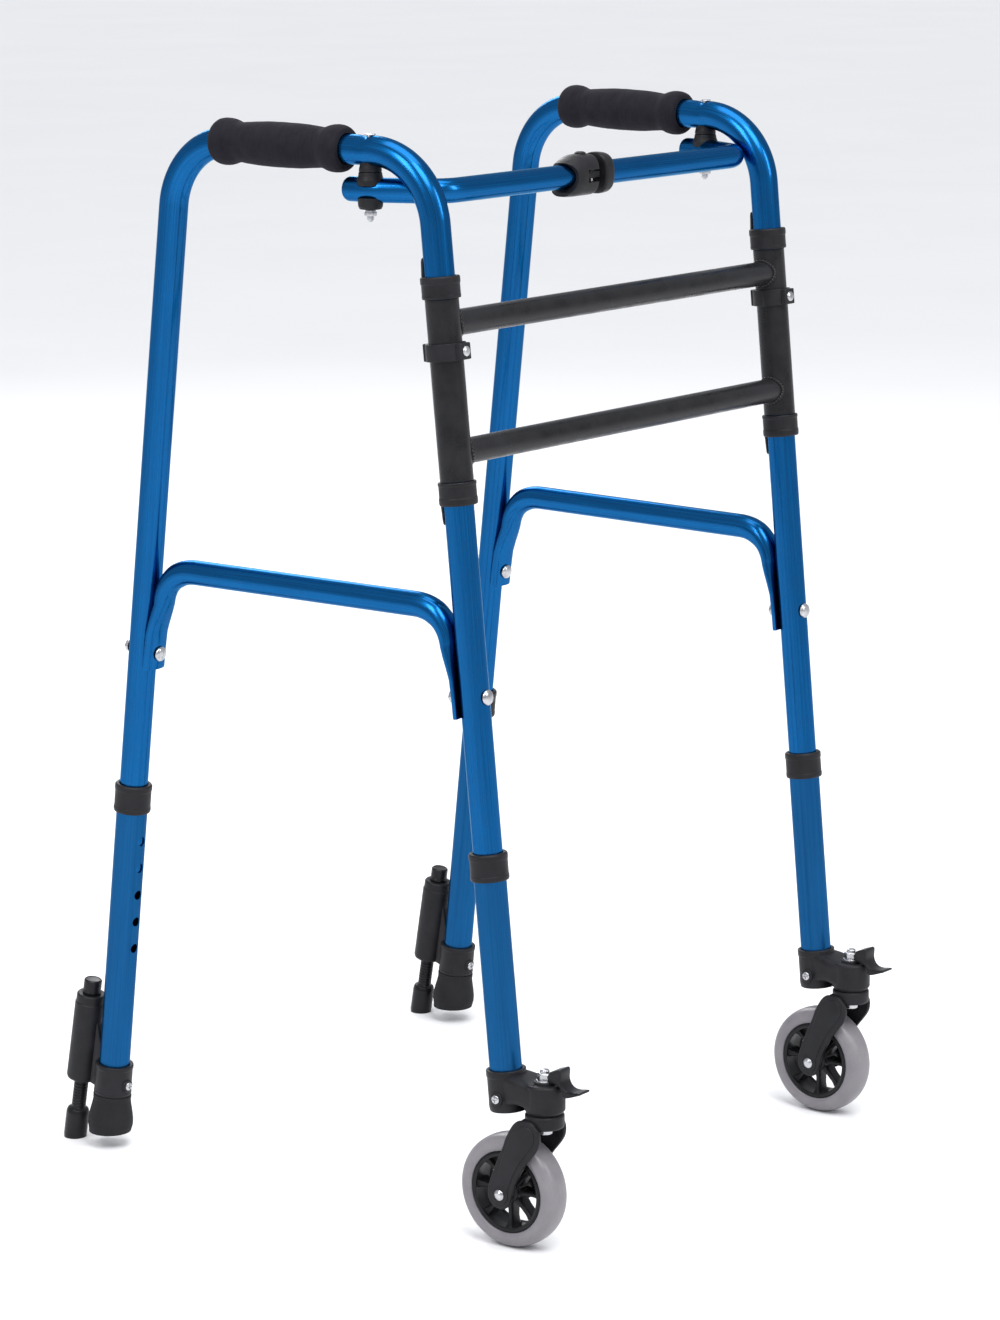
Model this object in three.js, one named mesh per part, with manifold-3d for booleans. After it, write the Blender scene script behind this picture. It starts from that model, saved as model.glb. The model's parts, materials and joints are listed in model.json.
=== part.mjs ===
// Folding walking frame with two swivel casters at the front and two
// spring-loaded glides at the rear. Millimetres, +Z up, user faces -Y.
// Origin: on the floor, at the centre of the footprint.
import * as THREE from 'three';
import { mergeVertices } from 'three/addons/utils/BufferGeometryUtils.js';
import Module from 'manifold-3d';

// ---------------------------------------------------------------- dimensions
const SIDE_HALF = 245.4;        // side-frame plane to midline, at mid depth
const TOE = 2 * Math.PI / 180;  // side frames open out towards the rear
const LEG_HALF = 233.5;         // leg axes at the floor, fore and aft of centre
const LEAN = { front: 0.1008, rear: -0.1106 };  // leg run per unit of height
const BAR_Z = 928.5;            // axis of the top bar
const BEND_R = 65;              // top bends of the side frame
const TUBE_R = 12.7;            // side-frame tube
const TUBE_WALL = 1.5;
const LEG_R = 14.0;             // telescoping lower leg
const LEG_BORE = 13.05;
const UPPER_END_Z = 258;        // lower end of the upper tube inside the leg
const HOLE_PITCH = 25.4;        // height adjustment
const HOLE_COUNT = 5;
const HOLE_R = 4.3;
const BUTTON_Z = { front: 298.8, rear: 295.8 };
const COLLAR = { front: [319.5, 343.0], rear: [322.0, 347.7] };
const BRACE_R = 11.0;           // side brace
const BRACE_Z = 548.5;
const BRACE_BOLT_Z = { front: 475.6, rear: 472.6 };
const SLEEVE_R = 14.3;          // front sleeves of the ladder
const SLEEVE_BORE = 13.5;
const SLEEVE_Z = [658.0, 809.5];
const CROSSBAR_R = 11.0;
const CROSSBAR_Z = [681.2, 788.3];
const CLIP_Z = [758.5, 773.0];
const GRIP_U = [-53.5, 84.5];
const PIVOT_U = -78.0;          // vertical pivot bolt of the folding brace
const ARM_R = 10.5;             // folding brace tube
const ARM_Z = 895.5;
const ARM_BAR_U = -136.0;       // cross part of the folding brace
const ARM_TOE = 24.5 * Math.PI / 180;
const WHEEL_R = 50;
const RIM_R = 36;
const AXLE_U = -226.5;
const KINGPIN_U = -258.5;
const GLIDE_U = 275;            // plunger axis at the floor
const GLIDE_LEAN = -0.171;
const CENTRE_Y = 7.64;          // shift that centres the footprint on the origin
const GAP = 0.3;
const N = 12;                   // facets round a tube

// ------------------------------------------------------------------ materials
const mat = (color, roughness, metalness) =>
  new THREE.MeshStandardMaterial({ color, roughness, metalness });
const BLUE = mat(0x0b63b0, 0.28, 0.75);
const BLACK = mat(0x1e1e21, 0.55, 0.0);
const STEEL_BLACK = mat(0x232326, 0.45, 0.2);
const FOAM = mat(0x26242a, 0.95, 0.0);
const RUBBER = mat(0x1b1b1d, 0.85, 0.0);
const TYRE = mat(0x7d7880, 0.6, 0.0);
const ZINC = mat(0xb8bbbf, 0.35, 0.9);
const GLIDE = mat(0x2c2c30, 0.5, 0.0);

// -------------------------------------------------------------- solid helpers
const wasm = await Module();
wasm.setup();

// One closed surface: positions only, welded, no slivers, facing out.
function closed(geometry) {
  let g = geometry.clone();
  for (const k of Object.keys(g.attributes)) if (k !== 'position') g.deleteAttribute(k);
  g = mergeVertices(g, 1e-4);
  const p = g.attributes.position, idx = Array.from(g.index.array), keep = [];
  let volume = 0;
  const a = new THREE.Vector3(), b = new THREE.Vector3(), c = new THREE.Vector3();
  for (let i = 0; i < idx.length; i += 3) {
    const [x, y, z] = idx.slice(i, i + 3);
    if (x === y || y === z || z === x) continue;
    keep.push(x, y, z);
    a.fromBufferAttribute(p, x); b.fromBufferAttribute(p, y); c.fromBufferAttribute(p, z);
    volume += a.dot(b.cross(c));
  }
  if (volume < 0) for (let i = 0; i < keep.length; i += 3) [keep[i], keep[i + 1]] = [keep[i + 1], keep[i]];
  g.setIndex(keep);
  return g;
}
function toManifold(geometry) {
  const g = closed(geometry);
  return new wasm.Manifold(new wasm.Mesh({
    numProp: 3,
    vertProperties: new Float32Array(g.attributes.position.array),
    triVerts: new Uint32Array(g.index.array),
  }));
}
function fromManifold(m) {
  const mesh = m.getMesh(), g = new THREE.BufferGeometry();
  g.setAttribute('position', new THREE.BufferAttribute(new Float32Array(mesh.vertProperties), 3));
  g.setIndex(Array.from(mesh.triVerts));
  return g;
}
const join = (...gs) => fromManifold(gs.map(toManifold).reduce((a, b) => a.add(b)));
const cut = (g, ...tools) => fromManifold(tools.map(toManifold).reduce((a, b) => a.subtract(b), toManifold(g)));
const common = (g, h) => fromManifold(toManifold(g).intersect(toManifold(h)));

// Turned shape about +Z from [radius, height] pairs.
function turned(profile, sides = N) {
  const g = new THREE.LatheGeometry(profile.map(([r, z]) => new THREE.Vector2(r, z)), sides);
  g.rotateX(Math.PI / 2);
  return closed(g);
}
const ring = (r0, r1, z0, z1, sides = N) =>
  turned([[r0, z0], [r1, z0], [r1, z1], [r0, z1], [r0, z0]], sides);
const rod = (r, z0, z1, sides = N) => turned([[0, z0], [r, z0], [r, z1], [0, z1]], sides);
function box(x0, x1, y0, y1, z0, z1) {
  const g = new THREE.BoxGeometry(x1 - x0, y1 - y0, z1 - z0);
  g.translate((x0 + x1) / 2, (y0 + y1) / 2, (z0 + z1) / 2);
  return closed(g);
}
// Flat outline in the (u, v) plane of a side frame, thickened from o0 to o1.
function plate(points, o0, o1, curveSegments = 6) {
  const shape = points instanceof THREE.Shape ? points : new THREE.Shape(points.map(([u, v]) => new THREE.Vector2(u, v)));
  const g = new THREE.ExtrudeGeometry(shape, { depth: o1 - o0, bevelEnabled: false, curveSegments });
  g.translate(0, 0, o0);
  g.applyMatrix4(new THREE.Matrix4().makeBasis(
    new THREE.Vector3(0, 1, 0), new THREE.Vector3(0, 0, 1), new THREE.Vector3(1, 0, 0)));
  return closed(g);
}
// Flat outline in plan (x, y), thickened from z0 to z1.
function slab(shape, z0, z1, curveSegments = 8) {
  const g = new THREE.ExtrudeGeometry(shape, { depth: z1 - z0, bevelEnabled: false, curveSegments });
  g.translate(0, 0, z0);
  return closed(g);
}
// Tube through stations { p, n, b, h, w, hi, wi }: n and b span the section,
// h and w are the outer half sizes along them, hi and wi those of the bore.
function tube(stations, sides = N) {
  const pos = [], idx = [], hollow = stations[0].hi !== undefined;
  const loop = (s, h, w) => {
    for (let k = 0; k < sides; k++) {
      const t = (k / sides) * 2 * Math.PI;
      const q = s.p.clone().addScaledVector(s.n, h * Math.cos(t)).addScaledVector(s.b, w * Math.sin(t));
      pos.push(q.x, q.y, q.z);
    }
  };
  for (const s of stations) { loop(s, s.h, s.w); if (hollow) loop(s, s.hi, s.wi); }
  const stride = sides * (hollow ? 2 : 1), last = stations.length - 1;
  const quad = (a, b, c, d) => idx.push(a, b, c, a, c, d);
  for (let i = 0; i < last; i++) for (let k = 0; k < sides; k++) {
    const k2 = (k + 1) % sides, a = i * stride, c = (i + 1) * stride;
    quad(a + k, a + k2, c + k2, c + k);
    if (hollow) quad(a + sides + k2, a + sides + k, c + sides + k, c + sides + k2);
  }
  for (let k = 0; k < sides; k++) {
    const k2 = (k + 1) % sides, z = last * stride;
    if (hollow) {
      quad(k2, k, sides + k, sides + k2);
      quad(z + k, z + k2, z + sides + k2, z + sides + k);
    } else if (k > 0 && k2 > 0) {
      idx.push(0, k2, k);
      idx.push(z, z + k, z + k2);
    }
  }
  const g = new THREE.BufferGeometry();
  g.setAttribute('position', new THREE.BufferAttribute(new Float32Array(pos), 3));
  g.setIndex(idx);
  return closed(g);
}

// ------------------------------------------------------------- side-frame axes
// Side coordinates: x = outward from the midline, y = u (rearward), z = up.
const legU = (leg, z) => (leg === 'front' ? -LEG_HALF : LEG_HALF) + LEAN[leg] * z;
// Frame on a leaning axis u = u0 + lean z, at height z: Z runs up the axis.
function axisAt(u0, lean, z) {
  const up = new THREE.Vector3(0, lean, 1).normalize(), x = new THREE.Vector3(1, 0, 0);
  return new THREE.Matrix4().makeBasis(x, new THREE.Vector3().crossVectors(up, x), up)
    .setPosition(0, u0 + lean * z, z);
}
const onLeg = (leg, z) => axisAt(legU(leg, 0), LEAN[leg], z);
const onGlide = (z) => axisAt(GLIDE_U, GLIDE_LEAN, z);
const put = (g, m) => g.clone().applyMatrix4(m);
const along = (leg, z0, z1) => (z1 - z0) * Math.hypot(1, LEAN[leg]);
const alongGlide = (z0, z1) => (z1 - z0) * Math.hypot(1, GLIDE_LEAN);
const across = (m, flip) => m.clone().multiply(new THREE.Matrix4().makeRotationX(flip ? Math.PI / 2 : -Math.PI / 2));

const root = new THREE.Group();
const left = new THREE.Group(), right = new THREE.Group();
left.position.x = SIDE_HALF; left.rotation.z = -TOE;
right.position.x = -SIDE_HALF; right.rotation.z = TOE;
root.position.y = CENTRE_Y;
root.add(left, right);
left.updateMatrix(); right.updateMatrix();

const mirrored = (g) => closed(g.clone().scale(-1, 1, 1));
function add(parent, name, geometry, material) {
  const g = closed(geometry).toNonIndexed();
  g.computeVertexNormals();
  const mesh = new THREE.Mesh(g, material);
  mesh.name = name;
  parent.add(mesh);
}
function addPair(name, geometry, material) {
  add(right, name + '_right', mirrored(geometry), material);
  add(left, name + '_left', geometry, material);
}

// ---------------------------------------------------------------- side frames
function framePath() {
  const vc = BAR_Z - BEND_R, out = [];
  const lf = Math.atan(LEAN.front), lr = Math.atan(-LEAN.rear);
  const cf = [legU('front', vc) + BEND_R / Math.cos(lf), vc];
  const cr = [legU('rear', vc) - BEND_R / Math.cos(lr), vc];
  const push = (u, v, angle) => out.push({ u, v, angle });
  push(legU('front', UPPER_END_Z), UPPER_END_Z, Math.PI / 2 - lf);
  const steps = 5;
  for (let i = 0; i <= steps; i++) {
    const t = Math.PI - lf - (Math.PI / 2 - lf) * (i / steps);
    push(cf[0] + BEND_R * Math.cos(t), cf[1] + BEND_R * Math.sin(t), t - Math.PI / 2);
  }
  for (let i = 0; i <= steps; i++) {
    const t = Math.PI / 2 - (Math.PI / 2 - lr) * (i / steps);
    push(cr[0] + BEND_R * Math.cos(t), cr[1] + BEND_R * Math.sin(t), t - Math.PI / 2);
  }
  push(legU('rear', UPPER_END_Z), UPPER_END_Z, lr - Math.PI / 2);
  return out.map(({ u, v, angle }) => ({
    p: new THREE.Vector3(0, u, v), n: new THREE.Vector3(1, 0, 0),
    b: new THREE.Vector3(0, -Math.sin(angle), Math.cos(angle)),
    h: TUBE_R, w: TUBE_R, hi: TUBE_R - TUBE_WALL, wi: TUBE_R - TUBE_WALL,
  }));
}
// A drill along the in-plane normal of a leg, from y0 to y1 off its axis.
const drill = (leg, z, r, y0, y1) => put(rod(r, y0, y1, 8), across(onLeg(leg, z), false));
// The snap buttons and holes are on the faces that look at the other leg.
const inner = { front: 1, rear: -1 };
const span = (leg, a, b) => (inner[leg] > 0 ? [a, b] : [-b, -a]);

const pivotHole = put(rod(3.5, -80, 60, 8), new THREE.Matrix4().setPosition(0, PIVOT_U, BAR_Z));
addPair('frame_tube', cut(tube(framePath()),
  ...['front', 'rear'].flatMap((leg) => [
    drill(leg, BUTTON_Z[leg], HOLE_R, ...span(leg, 5, 20)),
    drill(leg, BRACE_BOLT_Z[leg], 3.3, -20, 20)]),
  pivotHole), BLUE);

// Foam grip on the top bar, with a bulged flange at each end.
{
  const [a, b] = GRIP_U, m = (a + b) / 2;
  const g = turned([[13.0, a], [15.6, a], [18.6, a + 3], [20.2, a + 9], [19.4, a + 16], [16.6, a + 23],
    [18.2, a + 40], [19.2, m], [18.2, b - 40], [16.6, b - 23], [19.4, b - 16], [20.2, b - 9],
    [18.6, b - 3], [16.2, b], [14.9, b], [13.0, b - 17], [13.0, a]]);
  g.rotateX(-Math.PI / 2);
  g.translate(0, 0, BAR_Z);
  addPair('grip', g, FOAM);
}

// Side brace: one tube bent down at both ends and crushed against the legs.
{
  const stations = [];
  const ends = [[456.5, 3.0, 13.4], [490, 3.4, 13.4], [517, 7.6, 12.0]];
  const faceU = (leg, z) => legU(leg, z) + inner[leg] * (TUBE_R + 0.55);
  const at = (u, v, tu, tv, h, w) => {
    const l = Math.hypot(tu, tv);
    stations.push({ p: new THREE.Vector3(0, u, v), n: new THREE.Vector3(0, -tv / l, tu / l),
      b: new THREE.Vector3(-1, 0, 0), h, w, hi: h - 1.6, wi: w - 1.6 });
  };
  const bend = (leg) => {
    const s = inner[leg], p0 = [faceU(leg, 517) + s * 7.6, 517], p3 = [legU(leg, BRACE_Z) + s * 55, BRACE_Z];
    const c1 = [p0[0] + LEAN[leg] * 16, 517 + 17], c2 = [p3[0] - s * 24, BRACE_Z], pts = [];
    const curve = new THREE.CubicBezierCurve(new THREE.Vector2(...p0), new THREE.Vector2(...c1),
      new THREE.Vector2(...c2), new THREE.Vector2(...p3));
    for (let i = 1; i <= 4; i++) {
      const t = i / 4, q = curve.getPoint(t), d = curve.getTangent(t);
      const k = Math.min(1, t * 1.6);
      pts.push([q.x, q.y, d.x, d.y, 7.6 + (BRACE_R - 7.6) * k, 12.0 + (BRACE_R - 12.0) * k]);
    }
    return pts;
  };
  for (const [z, h, w] of ends) at(faceU('front', z) + h, z, LEAN.front, 1, h, w);
  for (const p of bend('front')) at(...p);
  const back = bend('rear');
  for (const [u, v, tu, tv, h, w] of back.reverse()) at(u, v, -tu, -tv, h, w);
  for (const [z, h, w] of ends.slice().reverse()) at(faceU('rear', z) - h, z, -LEAN.rear, -1, h, w);
  addPair('side_brace', cut(tube(stations, 10),
    drill('front', BRACE_BOLT_Z.front, 3.3, 0, 30), drill('rear', BRACE_BOLT_Z.rear, 3.3, -30, 0)), BLUE);
}
// Through bolts of the side brace, domed head forward, nut rearward.
for (const leg of ['front', 'rear']) {
  const seat = TUBE_R + GAP, pad = 6.6 + 0.55;
  const head = leg === 'front' ? seat : seat + pad, tail = leg === 'front' ? seat + pad : seat;
  const g = turned([[0, -head - 3.6], [3.4, -head - 3.1], [6.0, -head - 1.4], [6.8, -head], [3.0, -head],
    [3.0, tail], [5.6, tail], [5.6, tail + 4.4], [2.8, tail + 4.4], [2.8, tail + 6.2], [0, tail + 6.2]], 8);
  addPair('brace_bolt_' + leg, put(g, across(onLeg(leg, BRACE_BOLT_Z[leg]), false)), ZINC);
}

// ------------------------------------------------------------------ lower legs
const LEG_Z = { front: [123.4, COLLAR.front[1] - 2.6], rear: [18.0, COLLAR.rear[1] - 2.6] };
for (const leg of ['front', 'rear']) {
  const [z0, z1] = LEG_Z[leg], holes = [];
  for (let i = 0; i < HOLE_COUNT; i++) holes.push(drill(leg, BUTTON_Z[leg] - i * HOLE_PITCH, HOLE_R, ...span(leg, 5, 20)));
  addPair('lower_leg_' + leg, cut(put(ring(LEG_BORE, LEG_R, 0, along(leg, z0, z1)), onLeg(leg, z0)), ...holes), BLUE);
  const [c0, c1] = COLLAR[leg], h = along(leg, c0, c1);
  addPair('collar_' + leg, put(turned([[LEG_R + GAP, 0], [16.2, 0], [16.7, 1.2], [16.7, h - 1.5], [15.6, h],
    [13.1, h], [13.1, h - 2.2], [LEG_R + GAP, h - 2.2], [LEG_R + GAP, 0]]), onLeg(leg, c0)), BLACK);
  // Spring button: domed pin on a plate inside the upper tube, held in flush;
  // its joint lets it spring out through both tubes.
  const pin = turned([[0, 2.6], [5.7, 2.6], [5.7, 4.1], [3.9, 4.1], [3.9, 10.8], [2.6, 12.0], [0, 12.4]], 12);
  addPair('snap_button_' + leg, put(pin, across(onLeg(leg, BUTTON_Z[leg]), leg === 'rear')), ZINC);
}

// ---------------------------------------------------------------------- ladder
// Two sleeves round the front legs and two welded crossbars: one weldment.
{
  const bar = (z, r) => {
    const y = legU('front', z) * Math.cos(TOE), half = SIDE_HALF + legU('front', z) * Math.sin(TOE);
    const g = rod(r, -half, half, 12);
    g.rotateY(Math.PI / 2);
    g.translate(0, y, z);
    return g;
  };
  const both = (g) => [put(g, left.matrix), put(mirrored(g), right.matrix)];
  const [z0, z1] = SLEEVE_Z, h = along('front', z0, z1);
  const sleeves = both(put(rod(SLEEVE_R, 0, h), onLeg('front', z0)));
  const bores = both(put(rod(SLEEVE_BORE, -5, h + 5), onLeg('front', z0)));
  const pins = both(drill('front', (CLIP_Z[0] + CLIP_Z[1]) / 2, 2.6, -20, -5));
  const body = join(...sleeves, ...CROSSBAR_Z.map((z) => bar(z, CROSSBAR_R)));
  add(root, 'ladder', cut(body, ...bores, ...CROSSBAR_Z.map((z) => bar(z, CROSSBAR_R - 1.5)), ...pins), STEEL_BLACK);
}
// Bushings at both ends of each sleeve, each with a tongue along the leg.
{
  const tongue = (m, r1, z0, z1) => put(common(ring(SLEEVE_BORE, r1, z0, z1), box(-7, 7, 0, 30, z0 - 1, z1 + 1)), m);
  const top = onLeg('front', SLEEVE_Z[1] + GAP), h = 18.6;
  addPair('bushing_top', join(put(turned([[SLEEVE_BORE, 0], [16.3, 0], [16.7, 1], [16.7, h - 1.5], [16.0, h],
    [SLEEVE_BORE, h], [SLEEVE_BORE, 0]]), top), tongue(top, 15.7, h - 1, h + 16.5)), BLACK);
  const low = onLeg('front', SLEEVE_Z[0] - GAP);
  addPair('bushing_low', join(put(turned([[SLEEVE_BORE, -19.6], [15.9, -19.6], [16.3, -18.5], [16.3, -0.6], [16.0, 0],
    [SLEEVE_BORE, 0], [SLEEVE_BORE, -19.6]]), low), tongue(low, 15.5, -37.5, -18.6)), BLACK);
  // Riveted clip round the sleeve.
  const [c0, c1] = CLIP_Z, m = onLeg('front', c0), hc = along('front', c0, c1), in_ = SLEEVE_R + GAP;
  const band = cut(join(ring(in_, 17.4, 0, hc), box(-6.5, 6.5, -19.6, -15, 0, hc), box(-7, 7, 15, 19.2, 0, hc)), rod(in_, -1, hc + 1));
  const rivet = turned([[0, 11.4], [2.3, 11.4], [2.3, 19.0], [4.4, 19.0], [4.0, 21.0], [2.2, 22.2], [0, 22.4]], 12);
  rivet.rotateX(Math.PI / 2);
  rivet.translate(0, 0, hc / 2);
  const stub = cut(rivet, put(rod(SLEEVE_BORE + 0.2, -1, hc + 1), new THREE.Matrix4()));
  addPair('sleeve_clip', put(join(band, stub), m), BLACK);
}

// --------------------------------------------------------- top folding brace
{
  // Seen in plan: (o, u) from the frame plane; the arm kinks at the pivot and
  // sweeps round to the cross part. Both halves are made for the left side.
  const pts = [];
  const d1 = [-Math.sin(ARM_TOE), -Math.cos(ARM_TOE)], kink = 50, bend = 30;
  const k = kink * Math.tan(ARM_TOE / 2);
  const push = (x, y, tx, ty) => pts.push({ x, y, tx, ty });
  push(0, -55, 0, -1);
  for (let i = 0; i <= 2; i++) {
    const t = ARM_TOE * i / 2;
    push(-kink * (1 - Math.cos(t)), PIVOT_U + k - kink * Math.sin(t), -Math.sin(t), -Math.cos(t));
  }
  const turn = Math.PI / 2 - ARM_TOE, drop = bend * (1 - Math.sin(ARM_TOE));
  const u0 = ARM_BAR_U + drop, o0 = -(PIVOT_U - u0) * Math.tan(ARM_TOE);
  for (let i = 0; i <= 4; i++) {
    const t = ARM_TOE + turn * i / 4;
    push(o0 - bend * (Math.cos(ARM_TOE) - Math.cos(t)), u0 - bend * (Math.sin(t) - Math.sin(ARM_TOE)), -Math.sin(t), -Math.cos(t));
  }
  const world = pts.map(({ x, y, tx, ty }) => ({
    p: new THREE.Vector3(x, y, ARM_Z).applyMatrix4(left.matrix),
    t: new THREE.Vector3(tx, ty, 0).transformDirection(left.matrix),
  }));
  // The last bend station is squared up to the cross direction.
  const end = world[world.length - 1];
  end.t.set(-1, 0, 0);
  const barY = end.p.y;
  const half = (xEnd) => {
    const st = [...world, { p: new THREE.Vector3(xEnd, barY, ARM_Z), t: new THREE.Vector3(-1, 0, 0) }];
    return tube(st.map(({ p, t }) => ({ p, n: new THREE.Vector3(0, 0, 1),
      b: new THREE.Vector3().crossVectors(t, new THREE.Vector3(0, 0, 1)),
      h: ARM_R, w: ARM_R, hi: ARM_R - 1.4, wi: ARM_R - 1.4 })));
  };
  const hole = put(pivotHole, left.matrix);
  const plug = (g) => {
    // Rounded plastic plug closing the rear end of the arm.
    const q = turned([[0, -6], [ARM_R - 0.9, -6], [ARM_R - 0.9, -0.4], [ARM_R, -0.4], [ARM_R, 0.4], [ARM_R - 1.5, 2.2], [0, 3.0]], N);
    q.rotateX(-Math.PI / 2);
    q.translate(0, -55, ARM_Z);
    return put(q, left.matrix);
  };
  const armLeft = cut(half(-2.2), hole);
  const armRight = mirrored(cut(half(35.0), hole));
  add(root, 'brace_arm_left', join(armLeft, plug()), BLUE);
  add(root, 'brace_arm_right', join(armRight, mirrored(plug())), BLUE);

  // Pivot stack on each side: bolt with nut, two saddle spacers and a washer.
  const at = (g) => put(g, new THREE.Matrix4().setPosition(0, PIVOT_U, 0));
  const barTool = (r) => tube(framePath().map(({ p, n, b }) => ({ p, n, b, h: r, w: r })));
  const armTool = (r) => put(tube([[0, -40], ...pts.slice(0, 5).map(({ x, y }) => [x, y])].slice(1).map(([x, y], i) => ({
    p: new THREE.Vector3(x, y, ARM_Z), n: new THREE.Vector3(0, 0, 1),
    b: new THREE.Vector3().crossVectors(new THREE.Vector3(pts[i].tx, pts[i].ty, 0), new THREE.Vector3(0, 0, 1)),
    h: r, w: r }))), new THREE.Matrix4());
  const seat = BAR_Z + TUBE_R + GAP;
  addPair('pivot_bolt', at(turned([[0, 869], [2.4, 869], [3.0, 870.4], [3.0, 874], [5.0, 874], [5.0, 879.2],
    [3.0, 879.2], [3.0, seat], [5.0, seat], [4.6, seat + 0.7], [3, seat + 1.1], [0, seat + 1.2]], 12)), ZINC);
  addPair('pivot_spacer_upper', cut(at(turned([[3.3, 911], [9.6, 911], [8.6, 914.5], [8.6, 922], [3.3, 922], [3.3, 911]], 16)), barTool(TUBE_R + GAP)), BLACK);
  addPair('pivot_spacer_lower', cut(at(turned([[3.3, 899.5], [11.8, 899.5], [11.4, 904.5], [9.8, 910.7], [3.3, 910.7], [3.3, 899.5]], 16)), armTool(ARM_R + GAP)), BLACK);
  addPair('pivot_washer', cut(at(turned([[3.3, 879.6], [9.8, 879.6], [10.9, 881.6], [10.9, 889.5], [3.3, 889.5], [3.3, 879.6]], 16)), armTool(ARM_R + GAP)), BLACK);

  // Centre lock: slotted housing with a push button on the right half; collar,
  // hinge barrel and tongue on the left half. Outline in (y, z), run along x.
  const y = barY, face = -16.6, collarFace = -6.8;
  const oval = (h, w, x0, x1, taper = 1) => tube([
    { x: x0, k: taper }, { x: x0 + (x1 - x0) * 0.25, k: 1 }, { x: x1 - (x1 - x0) * 0.25, k: 1 }, { x: x1, k: taper },
  ].map(({ x, k }) => ({ p: new THREE.Vector3(x, 0, 896), n: new THREE.Vector3(0, 0, 1),
    b: new THREE.Vector3(0, -1, 0), h: h * k, w: w * k })), 20);
  const shell = join(oval(18, 15, -47.4, face, 0.97), slab(new THREE.Shape([[-49.5, -9], [-40, -12], [-40, 12], [-49.5, 9]]
    .map(([a, c]) => new THREE.Vector2(a, c))), 879.5, 896, 4));
  const slope = box(-60, 0, -30, 30, 0, 30);
  slope.rotateY(-0.62); slope.translate(-38, 0, 914.5);
  const bore = rod(ARM_R + GAP, -60, -34.6); bore.rotateY(Math.PI / 2); bore.translate(0, 0, ARM_Z);
  const slot = box(-33, 0, -30, 30, ARM_Z - 8.5, ARM_Z + 8.5);
  const well = put(rod(5.4, 907.8, 920, 16), new THREE.Matrix4().setPosition(-26, 0, 0));
  const housing = cut(shell, slope, bore, slot, well);
  housing.translate(0, y, 0);
  add(root, 'lock_housing', housing, BLACK);
  const button = put(turned([[0, 911.3], [5.0, 911.3], [5.0, 914.6], [4.2, 915.6], [0, 916]], 16), new THREE.Matrix4().setPosition(-26, y, 0));
  add(root, 'lock_button', button, GLIDE);
  const socket = rod(ARM_R + GAP, -2.6, 20); socket.rotateY(Math.PI / 2); socket.translate(0, 0, ARM_Z);
  const collar = cut(oval(18, 15, collarFace, 6.7, 0.94), socket);
  const tongue = box(-25.5, collarFace + 1, -7, 7, ARM_Z - 2.6, ARM_Z + 2.6);
  const barrel = put(rod(4.0, ARM_Z - 3.6, ARM_Z + 3.6, 12), new THREE.Matrix4().setPosition(-10.2, 0, 0));
  const knuckle = join(collar, tongue, barrel);
  knuckle.translate(0, y, 0);
  add(root, 'lock_knuckle', knuckle, BLACK);
}

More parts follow.
